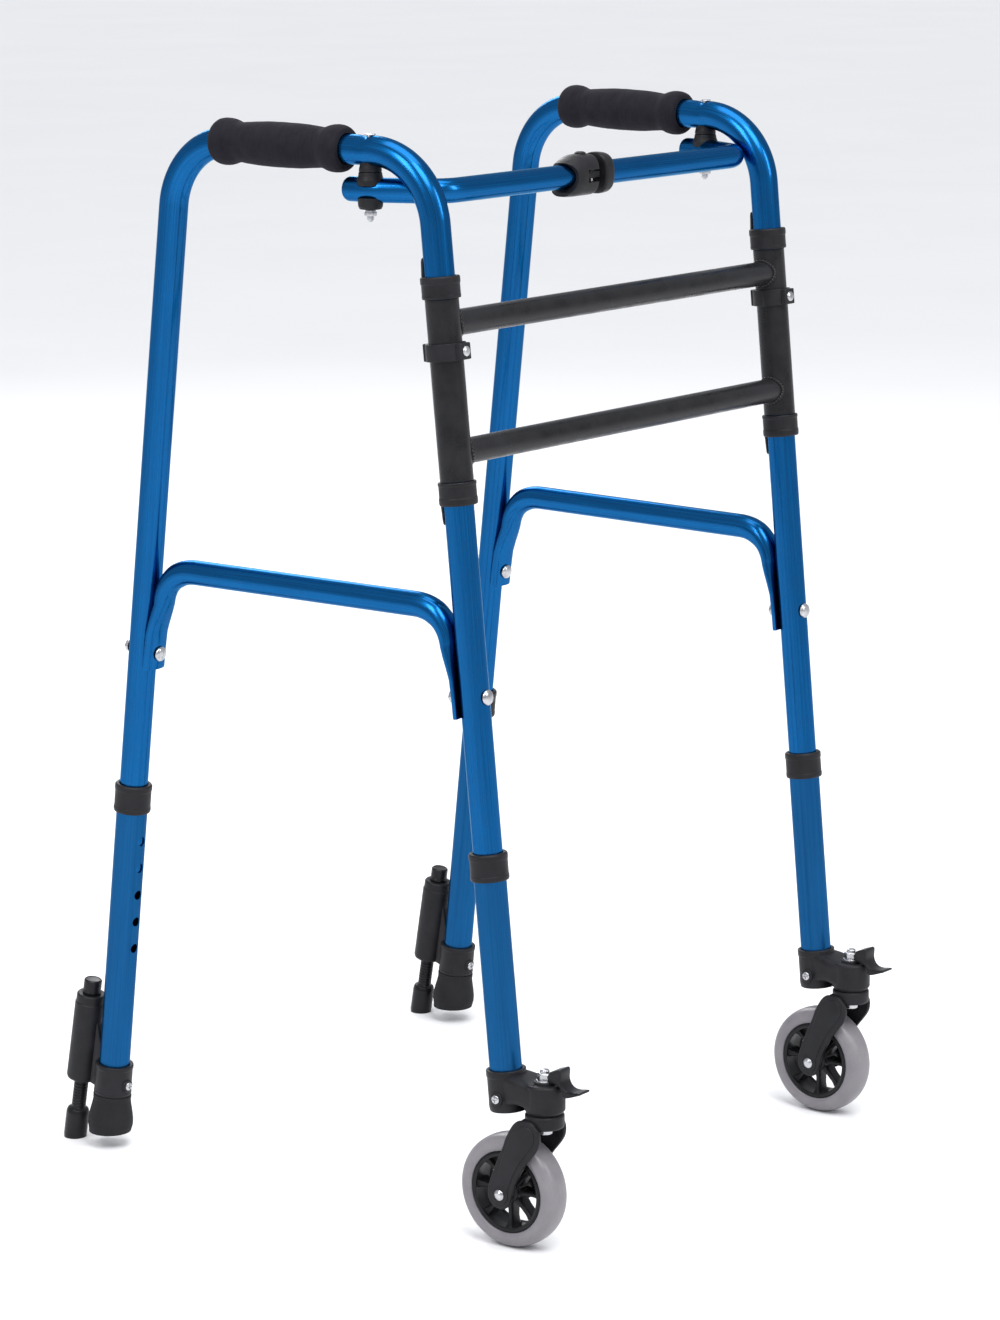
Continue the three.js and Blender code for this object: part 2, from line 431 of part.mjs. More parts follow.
// --------------------------------------------------------------- front casters
{
  const at = (g, u) => put(g, new THREE.Matrix4().setPosition(0, u, 0));
  // Bracket: socket on the leg, arm forward, kingpin with domed head.
  const legAxis = onLeg('front', 120.3);
  const socket = put(rod(17.2, 0, along('front', 120.3, 156.2)), legAxis);
  const arm = plate([[-222, 124.5], [-241, 129.5], [-256, 127], [-256, 151.5], [-238, 154], [-222, 155.8]], -16.8, 16.8);
  const boss = at(turned([[0, 124.3], [15.5, 124.3], [17.8, 127.4], [17.8, 149], [16.4, 150.5], [0, 150.5]], 16), KINGPIN_U);
  const bracket = cut(join(socket, arm, boss), put(rod(LEG_R + GAP, 2.8, 80), legAxis));
  const screw = turned([[0, -20.4], [2.2, -20.2], [3.8, -19.2], [3.8, -17.0], [3.8, 17.0], [3.8, 19.2], [2.2, 20.2], [0, 20.4]], 8);
  screw.rotateY(Math.PI / 2);
  const screwAt = onLeg('front', 133);
  const heads = cut(put(screw, screwAt), put(rod(LEG_R + 1.2, -60, 80), screwAt));
  const heads2 = toManifold(heads).decompose().map(fromManifold);
  const king = at(turned([[0, 105.9], [7.2, 105.9], [7.2, 109.9], [5.0, 111.0], [5.0, 130], [6.4, 130], [6.4, 158.5], [4.6, 161.8], [0, 163]], 12), KINGPIN_U);
  addPair('caster_bracket', join(bracket, ...heads2, king), BLACK);
  // Fork: crown under the boss, two arms trailing down to the axle.
  const cheek = new THREE.Shape();
  [[-260, 119.9], [-261.5, 116.7], [-265.3, 113.1], [-266.9, 107.2], [-265.9, 99.9], [-261.7, 92.8], [-253.4, 82.3]]
    .forEach(([u, v], i) => (i ? cheek.lineTo(u, v) : cheek.moveTo(u, v)));
  cheek.absarc(AXLE_U, 50, 13, -Math.PI * 0.88, 0.3, false);
  cheek.lineTo(-228.9, 93.3); cheek.lineTo(-232, 101.9); cheek.lineTo(-237.3, 111.8);
  cheek.lineTo(-243.4, 119.9); cheek.closePath();
  const crownSolid = at(turned([[0, 112], [17, 112], [17, 122.5], [15.6, 124], [0, 124]], 20), KINGPIN_U);
  const axle = turned([[0, -24.6], [2.6, -24.2], [4.6, -22.6], [4.6, -21], [4, -21], [4, 21], [4.6, 21], [4.6, 22.6], [2.6, 24.2], [0, 24.6]], 12);
  axle.rotateY(Math.PI / 2); axle.translate(0, AXLE_U, 50);
  const fork = cut(join(crownSolid, box(-21.4, 21.4, -259, -246, 113, 119.5), plate(cheek, 16.9, 21.4), plate(cheek, -21.4, -16.9)),
    at(rod(5.4, 90, 130, 12), KINGPIN_U));
  addPair('caster_fork', join(fork, axle), BLACK);
  // Wheel: spoked hub and grey tyre.
  const spin = (g) => { const q = g.clone(); q.rotateY(Math.PI / 2); q.translate(0, AXLE_U, 50); return q; };
  const spokes = [];
  for (let i = 0; i < 8; i++) {
    const b = box(-2.4, 2.4, 8, 33, -5, 5);
    b.rotateZ(i * Math.PI / 4);
    spokes.push(b);
  }
  const hub = cut(join(ring(31.5, RIM_R, -11.5, 11.5, 24), rod(10.5, -16.4, 16.4, 12), ...spokes), rod(4.3, -20, 20, 12));
  addPair('wheel_hub', spin(hub), BLACK);
  addPair('tyre', spin(turned([[RIM_R + GAP, -12], [42, -14], [48, -10.5], [WHEEL_R, -4], [WHEEL_R, 4], [48, 10.5],
    [42, 14], [RIM_R + GAP, 12], [RIM_R + GAP, -12]], 24)), TYRE);
  // Foot-operated lock lever at the front of the bracket.
  addPair('caster_lock', plate([[-266.2, 154.2], [-267.4, 162.4], [-274.1, 165.5], [-279.3, 167.3], [-280.3, 164], [-279.3, 156.8],
    [-281.4, 151.9], [-285.5, 149.1], [-290.7, 148.7], [-299.2, 150.6], [-300, 148], [-289.7, 144.1], [-284, 142.9],
    [-281.5, 143.8], [-281, 148], [-278.6, 150.9], [-277, 152.6]], -8.5, 8.5), BLACK);
}

// ------------------------------------------------------------------ rear glides
{
  const trim = box(-60, 60, 150, 330, -40, 14);
  const leg0 = 14, h = along('rear', leg0, 50.6);
  const foot = turned([[0, -6], [18.6, -6], [19.6, 2], [20.8, 9], [20.3, 16], [18.8, 24], [17.3, h], [LEG_R + GAP, h], [LEG_R + GAP, 3.7], [0, 3.7]], N);
  addPair('rubber_foot', cut(put(foot, onLeg('rear', leg0)), trim), RUBBER);
  // Clamp moulding: band on the leg, web, spring housing.
  const band = put(rod(17.3, 0, along('rear', 51, 80)), onLeg('rear', 51));
  const shell = put(rod(14.3, 0, alongGlide(58.6, 142)), onGlide(58.6));
  const web = plate([[238, 52], [262, 62], [252, 128], [233, 96], [228, 78]], -4, 4);
  const screw = turned([[0, -20.4], [2.4, -20.1], [4.0, -19.0], [4.0, -15], [0, -15]], 12);
  screw.rotateX(-Math.PI / 2);
  const body = join(band, shell, web, put(screw, onLeg('rear', 62)));
  addPair('glide_clamp', cut(body, put(rod(LEG_R + GAP, -30, 60), onLeg('rear', 62)),
    put(turned([[0, -5], [7.0, -5], [7.0, 3], [11.5, 3], [11.5, alongGlide(58.6, 139)], [7.0, alongGlide(58.6, 139)], [7.0, 100], [0, 100]], 12), onGlide(58.6))), BLACK);
  // Plunger with the glide tip below and the cap above; flange inside.
  const z = (v) => alongGlide(0, v);
  const plunger = turned([[0, -6], [9.2, -6], [10.6, 3], [10.6, 26], [9.0, 29.5], [6.6, 30], [6.6, z(62.4)], [11.0, z(62.4)], [11.0, z(66)],
    [6.6, z(66)], [6.6, z(142.5)], [8.5, z(142.5)], [8.5, z(153.5)], [7.4, z(156)], [0, z(156)]], 12);
  addPair('glide_plunger', cut(put(plunger, onGlide(0)), box(-60, 60, 150, 330, -60, 0)), GLIDE);
  // Coil spring resting on the flange.
  const turns = 4, per = 8, st = [];
  for (let i = 0; i <= turns * per; i++) {
    const t = (i / per) * 2 * Math.PI, p = new THREE.Vector3(9.0 * Math.cos(t), 9.0 * Math.sin(t), z(66) + 1.8 + (i / (turns * per)) * 46);
    const tan = new THREE.Vector3(-9.0 * Math.sin(t), 9.0 * Math.cos(t), 46 / (turns * 2 * Math.PI)).normalize();
    const n = new THREE.Vector3(Math.cos(t), Math.sin(t), 0), b = new THREE.Vector3().crossVectors(tan, n);
    st.push({ p, n, b, h: 1.3, w: 1.3 });
  }
  addPair('glide_spring', put(tube(st, 5), onGlide(0)), ZINC);
}

export default root;
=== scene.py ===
import bpy
import json
import math
import numpy as np
from mathutils import Matrix, Vector, noise

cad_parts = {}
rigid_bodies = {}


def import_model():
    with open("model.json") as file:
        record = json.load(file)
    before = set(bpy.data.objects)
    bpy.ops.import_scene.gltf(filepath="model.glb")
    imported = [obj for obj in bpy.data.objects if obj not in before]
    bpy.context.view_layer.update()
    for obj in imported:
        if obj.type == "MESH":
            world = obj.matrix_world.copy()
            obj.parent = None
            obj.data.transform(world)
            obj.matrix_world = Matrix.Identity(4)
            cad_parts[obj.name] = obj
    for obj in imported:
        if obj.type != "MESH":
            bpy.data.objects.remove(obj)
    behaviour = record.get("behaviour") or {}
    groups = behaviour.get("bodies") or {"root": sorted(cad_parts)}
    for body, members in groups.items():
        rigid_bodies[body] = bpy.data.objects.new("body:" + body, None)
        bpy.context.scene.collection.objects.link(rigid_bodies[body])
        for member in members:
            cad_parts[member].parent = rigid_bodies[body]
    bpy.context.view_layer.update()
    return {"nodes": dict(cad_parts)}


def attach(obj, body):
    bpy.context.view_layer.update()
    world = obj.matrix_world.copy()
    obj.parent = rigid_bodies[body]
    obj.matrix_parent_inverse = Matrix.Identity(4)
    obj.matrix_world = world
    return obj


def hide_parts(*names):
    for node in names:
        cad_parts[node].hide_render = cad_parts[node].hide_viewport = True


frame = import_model()

# ------------------------------------------------------------------ dimensions
# Millimetres. Side coordinates: x = outward, y = u (rearward), z = up.
MM = 0.001
SIDE_HALF = 245.4
TOE = math.radians(2)
CENTRE_Y = 7.64
LEG_HALF = 233.5
LEAN = {"front": 0.1008, "rear": -0.1106}
INNER = {"front": 1, "rear": -1}     # the side of a leg that looks at the other leg
BAR_Z = 928.5
BEND_R = 65
TUBE_R = 12.7
LEG_R = 14.0
LEG_BORE = 13.05
UPPER_END_Z = 258
HOLE_PITCH = 25.4
HOLE_R = 4.3
BUTTON_Z = {"front": 298.8, "rear": 295.8}
COLLAR = {"front": (319.5, 343.0), "rear": (322.0, 347.7)}
BRACE_R = 11.0
BRACE_Z = 548.5
BRACE_BOLT_Z = {"front": 475.6, "rear": 472.6}
SLEEVE_R = 14.3
SLEEVE_BORE = 13.5
SLEEVE_Z = (658.0, 809.5)
CROSSBAR_R = 11.0
CROSSBAR_Z = (681.2, 788.3)
CLIP_Z = (758.5, 773.0)
GRIP_U = (-53.5, 84.5)
PIVOT_U = -78.0
ARM_R = 10.5
ARM_Z = 895.5
ARM_BAR_U = -136.0
ARM_TOE = math.radians(24.5)
RIM_R = 36
AXLE_U = -226.5
AXLE_Z = 50
KINGPIN_U = -258.5
GLIDE_U = 275
GLIDE_LEAN = -0.171
GAP = 0.3
SIDES = ("left", "right")


# -------------------------------------------------------------------- solids
# A solid is {v: points in mm, f: faces, g: grain coordinates in mm}.
def solid(v, f, g=None):
    v = np.asarray(v, float).reshape(-1, 3)
    f = [tuple(q) for q in f]
    vol = sum(np.dot(v[q[0]], np.cross(v[q[i]], v[q[i + 1]])) for q in f for i in range(1, len(q) - 1))
    if vol < 0:
        f = [q[::-1] for q in f]
    return {"v": v, "f": f, "g": v.copy() if g is None else np.asarray(g, float)}


def join(*parts):
    v, g, f, n = [], [], [], 0
    for p in parts:
        v.append(p["v"])
        g.append(p["g"])
        f += [tuple(i + n for i in q) for q in p["f"]]
        n += len(p["v"])
    return {"v": np.vstack(v), "f": f, "g": np.vstack(g)}


def put(p, m, keep_grain=True):
    a = np.array(m)
    v = p["v"] @ a[:3, :3].T + a[:3, 3]
    f = p["f"] if np.linalg.det(a[:3, :3]) > 0 else [q[::-1] for q in p["f"]]
    return {"v": v, "f": f, "g": p["g"] if keep_grain else v.copy()}


def shift(x=0, y=0, z=0):
    return Matrix.Translation((x, y, z))


def turn(deg, axis):
    return Matrix.Rotation(math.radians(deg), 4, axis)


def arc_corner(a, b, c, r, steps):
    """Points that round corner b of the path a, b, c with radius r."""
    d1, d2 = a - b, c - b
    l1, l2 = np.linalg.norm(d1), np.linalg.norm(d2)
    if r <= 0 or l1 < 1e-6 or l2 < 1e-6:
        return [b]
    d1, d2 = d1 / l1, d2 / l2
    ang = math.acos(float(np.clip(np.dot(d1, d2), -1, 1)))
    if ang > math.pi - 0.05:
        return [b]
    t = min(r / math.tan(ang / 2), 0.49 * l1, 0.49 * l2)
    p, q = b + d1 * t, b + d2 * t
    out = []
    for i in range(steps + 1):
        k = i / steps
        out.append((1 - k) ** 2 * p + 2 * k * (1 - k) * b + k * k * q)
    return out


def rounded(points, closed=True, steps=4):
    """Outline of (x, y, radius) with its corners rounded."""
    pts = [np.array(p[:2], float) for p in points]
    rad = [p[2] if len(p) > 2 else 0 for p in points]
    out, n = [], len(pts)
    for i in range(n):
        if not closed and i in (0, n - 1):
            out.append(pts[i])
        else:
            out += arc_corner(pts[i - 1], pts[i], pts[(i + 1) % n], rad[i], steps)
    return [tuple(p) for p in out]


def spline(points, steps=8, closed=False):
    """Catmull-Rom curve through points of any dimension."""
    p = [np.array(q, float) for q in points]
    n, out = len(p), []
    for i in range(n if closed else n - 1):
        a, b, c, d = [p[j % n] if closed else p[min(max(j, 0), n - 1)] for j in (i - 1, i, i + 1, i + 2)]
        for k in range(steps):
            t = k / steps
            out.append(0.5 * (2 * b + (c - a) * t + (2 * a - 5 * b + 4 * c - d) * t * t
                              + (3 * b - a - 3 * c + d) * t ** 3))
    if not closed:
        out.append(p[-1])
    return [tuple(q) for q in out]


def lathe(profile, sides=64):
    """Turned solid about +Z from (r, z); a profile that ends where it starts is a ring."""
    loop = math.dist(profile[0], profile[-1]) < 1e-9
    pr = list(profile[:-1] if loop else profile)
    v, g, rows = [], [], []
    for r, z in pr:
        if r < 1e-6:
            rows.append([len(v)])
            v.append((0, 0, z))
            g.append((0, 0, z))
            continue
        rows.append(list(range(len(v), len(v) + sides)))
        for k in range(sides):
            t = 2 * math.pi * k / sides
            v.append((r * math.cos(t), r * math.sin(t), z))
            g.append((r * math.cos(t), r * math.sin(t), z))
    f = []
    pairs = list(zip(rows, rows[1:])) + ([(rows[-1], rows[0])] if loop else [])
    for a, b in pairs:
        for k in range(sides):
            j = (k + 1) % sides
            if len(a) == 1 and len(b) == 1:
                break
            if len(a) == 1:
                f.append((a[0], b[k], b[j]))
            elif len(b) == 1:
                f.append((a[k], b[0], a[j]))
            else:
                f.append((a[k], b[k], b[j], a[j]))
    if not loop:
        for row, top in ((rows[0], False), (rows[-1], True)):
            if len(row) > 1:
                f.append(tuple(row) if top else tuple(row[::-1]))
    return solid(v, f, g)


def pin(profile, sides=48, r=0.5, steps=3):
    """Turned solid whose corners are rounded by r (or by each point's own radius)."""
    p = [(q[0], q[1], q[2] if len(q) > 2 else r) for q in profile]
    return lathe(rounded(p, closed=False, steps=steps), sides)


def hoop(profile, sides=64, r=0.5, steps=3):
    """Turned ring with rounded corners."""
    p = [(q[0], q[1], q[2] if len(q) > 2 else r) for q in profile]
    q = rounded(p, closed=True, steps=steps)
    return lathe(q + [q[0]], sides)


def sweep(stations, sides=48, wall=0.0):
    """Tube through rows (point, n, b, h, w, power, saddle); wall > 0 makes it hollow."""
    v, g, rings, s, last = [], [], [], 0.0, None
    for row in stations:
        p, n, b, h, w = (np.array(x, float) for x in row[:5])
        e = row[5] if len(row) > 5 else 2.0
        sad = row[6] if len(row) > 6 else 0.0
        if last is not None:
            s += float(np.linalg.norm(p - last))
        last = p
        for inset in ([0, wall] if wall else [0]):
            ring = []
            for k in range(sides):
                t = 2 * math.pi * k / sides
                ct, st = math.cos(t), math.sin(t)
                cx = math.copysign(abs(ct) ** (2 / e), ct) * (h - inset)
                cy = math.copysign(abs(st) ** (2 / e), st) * (w - inset)
                ring.append(len(v))
                v.append(p + n * (cx + sad * cy * cy) + b * cy)
                g.append((cx, cy, s))
            rings.append(ring)
    f, step = [], 2 if wall else 1
    for i in range(len(stations) - 1):
        for off in range(step):
            a, c = rings[i * step + off], rings[(i + 1) * step + off]
            for k in range(sides):
                j = (k + 1) % sides
                q = (a[k], a[j], c[j], c[k])
                f.append(q[::-1] if off else q)
    if wall:
        for a, c, flip in ((rings[0], rings[1], True), (rings[-2], rings[-1], False)):
            for k in range(sides):
                j = (k + 1) % sides
                q = (a[k], a[j], c[j], c[k])
                f.append(q[::-1] if flip else q)
    else:
        f.append(tuple(rings[0][::-1]))
        f.append(tuple(rings[-1]))
    return solid(v, f, g)


def slab(outline, z0, z1, edge=1.0, steps=3):
    """Flat outline thickened from z0 to z1 with rounded rims."""
    p = np.array(outline, float)
    keep = [i for i in range(len(p)) if np.linalg.norm(p[i] - p[i - 1]) > 1e-6]
    p = p[keep]
    area = 0.5 * np.sum(p[:, 0] * np.roll(p[:, 1], -1) - np.roll(p[:, 0], -1) * p[:, 1])
    if area < 0:
        p = p[::-1]
    d1 = p - np.roll(p, 1, 0)
    d2 = np.roll(p, -1, 0) - p
    n1 = np.stack([d1[:, 1], -d1[:, 0]], 1) / np.linalg.norm(d1, axis=1)[:, None]
    n2 = np.stack([d2[:, 1], -d2[:, 0]], 1) / np.linalg.norm(d2, axis=1)[:, None]
    m = n1 + n2
    m /= np.maximum(np.sum(m * n1, 1), 0.35)[:, None]
    rows = [(z0 + edge * (1 - math.cos(math.pi / 2 * i / steps)),
        edge * (1 - math.sin(math.pi / 2 * i / steps)))
            for i in range(steps + 1)]
    rows += [(z1 + z0 - z, k) for z, k in rows[::-1]]
    v, rings = [], []
    for z, k in rows:
        q = p - m * k
        rings.append(list(range(len(v), len(v) + len(q))))
        v += [(x, y, z) for x, y in q]
    f, n = [], len(p)
    for a, b in zip(rings, rings[1:]):
        f += [(a[i], a[(i + 1) % n], b[(i + 1) % n], b[i]) for i in range(n)]
    f += [tuple(rings[0][::-1]), tuple(rings[-1])]
    return solid(v, f)


def plate(outline, o0, o1, edge=0.8, steps=3):
    """Outline in the (u, z) plane of a side frame, thickened from o0 to o1."""
    m = Matrix(((0, 0, 1, 0), (1, 0, 0, 0), (0, 1, 0, 0), (0, 0, 0, 1)))
    return put(slab(outline, o0, o1, edge, steps), m, False)


def hexagon(r, z0, z1):
    """Hexagon nut with chamfered corners, across-corner radius r."""
    pts = [(r * math.cos(math.radians(60 * i)), r * math.sin(math.radians(60 * i))) for i in range(6)]
    return slab(rounded([(x, y, 0.5) for x, y in pts], steps=2), z0, z1, 0.5, 2)


scratch = bpy.data.collections.new("scratch")


def to_mesh(p, name):
    me = bpy.data.meshes.new(name)
    me.from_pydata([tuple(q) for q in p["v"] * MM], [], p["f"])
    me.update()
    return me


def boolean(p, tools, mode="DIFFERENCE", grain=None):
    """p cut by, or joined with, the tools; grain is the matrix of the grain axis."""
    if scratch.name not in bpy.context.scene.collection.children:
        bpy.context.scene.collection.children.link(scratch)
    a = bpy.data.objects.new("a", to_mesh(p, "a"))
    scratch.objects.link(a)
    made = [a]
    for i, t in enumerate(tools):
        b = bpy.data.objects.new(f"b{i}", to_mesh(t, f"b{i}"))
        scratch.objects.link(b)
        made.append(b)
        m = a.modifiers.new("m", "BOOLEAN")
        m.operation, m.solver, m.object = mode, "EXACT", b
    bpy.context.view_layer.update()
    e = a.evaluated_get(bpy.context.evaluated_depsgraph_get())
    me = bpy.data.meshes.new_from_object(e)
    v = np.array([q.co for q in me.vertices], float) / MM
    f = [tuple(q.vertices) for q in me.polygons]
    for o in made:
        bpy.data.objects.remove(o)
    g = v.copy()
    if grain is not None:
        inv = np.array(grain.inverted())
        g = v @ inv[:3, :3].T + inv[:3, 3]
    return {"v": v, "f": f, "g": g}


# ------------------------------------------------------------------ side frames
def leg_u(leg, z):
    return (-LEG_HALF if leg == "front" else LEG_HALF) + LEAN[leg] * z


def axis_at(u0, lean, z):
    """Frame on a leaning axis at height z: its Z runs up the axis."""
    up = Vector((0, lean, 1)).normalized()
    x = Vector((1, 0, 0))
    y = up.cross(x)
    m = Matrix((x, y, up)).transposed().to_4x4()
    m.translation = Vector((0, u0 + lean * z, z))
    return m


def on_leg(leg, z):
    return axis_at(leg_u(leg, 0), LEAN[leg], z)


def on_glide(z):
    return axis_at(GLIDE_U, GLIDE_LEAN, z)


def along(leg, z0, z1):
    return (z1 - z0) * math.hypot(1, LEAN[leg])


def along_glide(z0, z1):
    return (z1 - z0) * math.hypot(1, GLIDE_LEAN)


def across(m, flip=False):
    return m @ turn(90 if flip else -90, "X")


LEFT = shift(0, CENTRE_Y, 0) @ shift(SIDE_HALF, 0, 0) @ Matrix.Rotation(-TOE, 4, "Z")
MIRROR = Matrix.Diagonal((-1, 1, 1, 1))


def build(name, p, material, body, nodes, sharp=38):
    """A piece from a solid already in the row frame (mm)."""
    me = to_mesh(p, name)
    me.attributes.new("grain", "FLOAT_VECTOR", "POINT").data.foreach_set(
        "vector", (p["g"] * MM).astype(np.float32).ravel())
    me.polygons.foreach_set("use_smooth", [True] * len(me.polygons))
    me.set_sharp_from_angle(angle=math.radians(sharp))
    me.materials.append(material)
    o = bpy.data.objects.new(name, me)
    bpy.context.scene.collection.objects.link(o)
    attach(o, body)
    if nodes:
        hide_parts(*nodes)
    return o


def pair(name, p, material, body, nodes, sharp=38, world=False):
    """The same piece on both sides, from the left one in side coordinates."""
    left = p if world else put(p, LEFT)
    for side, q in (("left", left), ("right", put(left, MIRROR))):
        build(f"{name}_{side}", q, material, f"{body}_{side}", [f"{n}_{side}" for n in nodes], sharp)


# -------------------------------------------------------------------- materials
def new_material(name, base, rough, metal=0.0, **sockets):
    m = bpy.data.materials.new(name)
    m.use_nodes = True
    nt = m.node_tree
    bsdf = nt.nodes["Principled BSDF"]
    bsdf.inputs["Base Color"].default_value = (*base, 1)
    bsdf.inputs["Roughness"].default_value = rough
    bsdf.inputs["Metallic"].default_value = metal
    for k, v in sockets.items():
        bsdf.inputs[k.replace("_", " ")].default_value = v
    return m, nt, bsdf


def coords(nt, grain, scale):
    """Scaled coordinates: along the tube or turning axis (grain) or the object's own."""
    if grain:
        src = nt.nodes.new("ShaderNodeAttribute")
        src.attribute_name = "grain"
        out = src.outputs["Vector"]
    else:
        out = nt.nodes.new("ShaderNodeTexCoord").outputs["Object"]
    mp = nt.nodes.new("ShaderNodeMapping")
    mp.inputs["Scale"].default_value = scale
    nt.links.new(out, mp.inputs["Vector"])
    return mp.outputs["Vector"]


def noise_of(nt, vec, scale=1.0, detail=3.0, rough=0.55):
    n = nt.nodes.new("ShaderNodeTexNoise")
    n.inputs["Scale"].default_value = scale
    n.inputs["Detail"].default_value = detail
    n.inputs["Roughness"].default_value = rough
    nt.links.new(vec, n.inputs["Vector"])
    return n.outputs["Fac"]


def spread(nt, fac, lo, hi, a=0.3, b=0.7):
    r = nt.nodes.new("ShaderNodeMapRange")
    for k, v in (("From Min", a), ("From Max", b), ("To Min", lo), ("To Max", hi)):
        r.inputs[k].default_value = v
    nt.links.new(fac, r.inputs["Value"])
    return r.outputs["Result"]


def mixed(nt, fac, a, b, mode="MIX"):
    m = nt.nodes.new("ShaderNodeMix")
    m.data_type, m.blend_type = "RGBA", mode
    for sock, val in ((m.inputs["Factor"], fac), (m.inputs["A"], a), (m.inputs["B"], b)):
        if hasattr(val, "links"):
            nt.links.new(val, sock)
        elif isinstance(val, tuple):
            sock.default_value = (*val, 1) if len(val) == 3 else val
        else:
            sock.default_value = val
    return next(s for s in m.outputs if s.type == "RGBA")


def bump(nt, bsdf, height, strength, distance, after=None):
    b = nt.nodes.new("ShaderNodeBump")
    b.inputs["Strength"].default_value = strength
    b.inputs["Distance"].default_value = distance
    nt.links.new(height, b.inputs["Height"])
    if after is not None:
        nt.links.new(after, b.inputs["Normal"])
    nt.links.new(b.outputs["Normal"], bsdf.inputs["Normal"])
    return b.outputs["Normal"]


def edges(nt, lo=0.53, hi=0.62):
    g = nt.nodes.new("ShaderNodeNewGeometry")
    return spread(nt, g.outputs["Pointiness"], 0, 1, lo, hi)


def anodised(name, deep, light, rough):
    """Dyed, drawn aluminium tube: fine lines along it and a soft cloudy dye."""
    m, nt, bs = new_material(name, light, rough, 1.0)
    bs.inputs["Specular Tint"].default_value = (0.25, 0.55, 0.70, 1)
    bs.inputs["Coat Weight"].default_value = 0.15
    bs.inputs["Coat Roughness"].default_value = 0.06
    bs.inputs["Coat IOR"].default_value = 1.45
    lines = noise_of(nt, coords(nt, True, (1500, 1500, 9)), 1.0, 4.0)
    cloud = noise_of(nt, coords(nt, True, (40, 40, 14)), 1.0, 2.0)
    col = mixed(nt, spread(nt, lines, 0, 1, 0.25, 0.75), deep, light)
    col = mixed(nt, spread(nt, cloud, 0.0, 0.28), col, tuple(c * 0.55 for c in light))
    nt.links.new(col, bs.inputs["Base Color"])
    nt.links.new(spread(nt, lines, rough - 0.05, rough + 0.09), bs.inputs["Roughness"])
    bump(nt, bs, lines, 0.06, 0.0002)
    return m


# light is the colour of the painted highlight on convex edges.
def moulded(name, base, rough, grain=900, depth=0.12, light=(0.045, 0.045, 0.05)):
    """Injection-moulded or coated black: fine grain, patchy sheen, and a painted highlight along convex edges,
    broken up by fine noise.
    """
    m, nt, bs = new_material(name, base, rough)
    bs.inputs["Specular IOR Level"].default_value = 0.2
    fine = noise_of(nt, coords(nt, False, (grain, grain, grain)), 1.0, 3.0)
    patch = noise_of(nt, coords(nt, False, (55, 55, 55)), 1.0, 3.0)
    col = mixed(nt, spread(nt, patch, 0, 1), base, tuple(c * 1.7 + 0.002 for c in base))
    # Painted highlight: convex edges, found by pointiness and broken up by fine noise, are lightened towards
    # the light colour.
    painted_edge_highlight = nt.nodes.new("ShaderNodeMath")
    painted_edge_highlight.operation = "MULTIPLY"
    nt.links.new(edges(nt), painted_edge_highlight.inputs[0])
    nt.links.new(spread(nt, fine, 0.15, 0.8), painted_edge_highlight.inputs[1])
    col = mixed(nt, painted_edge_highlight.outputs[0], col, light)
    nt.links.new(col, bs.inputs["Base Color"])
    nt.links.new(spread(nt, patch, rough - 0.08, rough + 0.1), bs.inputs["Roughness"])
    bump(nt, bs, fine, depth, 0.0003)
    return m


def foam(name):
    """Closed-cell foam: fine striations round the grip, tiny pores, a little sheen."""
    m, nt, bs = new_material(name, (0.012, 0.011, 0.014), 0.92)
    bs.inputs["Sheen Weight"].default_value = 0.04
    bs.inputs["Sheen Roughness"].default_value = 0.55
    bs.inputs["Sheen Tint"].default_value = (0.5, 0.52, 0.6, 1)
    bs.inputs["Specular IOR Level"].default_value = 0.12
    cells = nt.nodes.new("ShaderNodeTexVoronoi")
    cells.inputs["Scale"].default_value = 1.0
    nt.links.new(coords(nt, False, (1300, 1300, 1300)), cells.inputs["Vector"])
    turns = noise_of(nt, coords(nt, True, (60, 60, 1500)), 1.0, 4.0)
    patch = noise_of(nt, coords(nt, False, (90, 90, 90)), 1.0, 4.0)
    col = mixed(nt, spread(nt, turns, 0, 1), (0.006, 0.0055, 0.008), (0.014, 0.013, 0.018))
    col = mixed(nt, spread(nt, patch, 0, 0.5), col, (0.019, 0.018, 0.023))
    nt.links.new(col, bs.inputs["Base Color"])
    n = bump(nt, bs, cells.outputs["Distance"], 0.35, 0.0004)
    bump(nt, bs, turns, 0.3, 0.0005, n)
    return m


def polyurethane(name):
    m, nt, bs = new_material(name, (0.2, 0.19, 0.205), 0.34)
    bs.inputs["Specular IOR Level"].default_value = 0.5
    bs.inputs["Subsurface Weight"].default_value = 0.0
    patch = noise_of(nt, coords(nt, False, (45, 45, 45)), 1.0, 4.0)
    fine = noise_of(nt, coords(nt, False, (700, 700, 700)), 1.0, 3.0)
    col = mixed(nt, spread(nt, patch, 0, 1), (0.175, 0.165, 0.180), (0.225, 0.213, 0.228))
    col = mixed(nt, spread(nt, fine, 0, 0.25), col, (0.13, 0.12, 0.13))
    nt.links.new(col, bs.inputs["Base Color"])
    nt.links.new(spread(nt, patch, 0.28, 0.42), bs.inputs["Roughness"])
    bump(nt, bs, fine, 0.06, 0.0003)
    return m


def plated(name, base=(0.58, 0.585, 0.60), rough=0.26):
    """Zinc-plated steel: bright, faintly mottled, with fine turning lines."""
    m, nt, bs = new_material(name, base, rough, 1.0)
    patch = noise_of(nt, coords(nt, False, (260, 260, 260)), 1.0, 4.0)
    lines = noise_of(nt, coords(nt, True, (300, 300, 3000)), 1.0, 3.0)
    col = mixed(nt, spread(nt, patch, 0, 1), tuple(c * 0.72 for c in base), base)
    nt.links.new(col, bs.inputs["Base Color"])
    nt.links.new(spread(nt, patch, rough - 0.08, rough + 0.14), bs.inputs["Roughness"])
    bump(nt, bs, lines, 0.08, 0.0001)
    return m


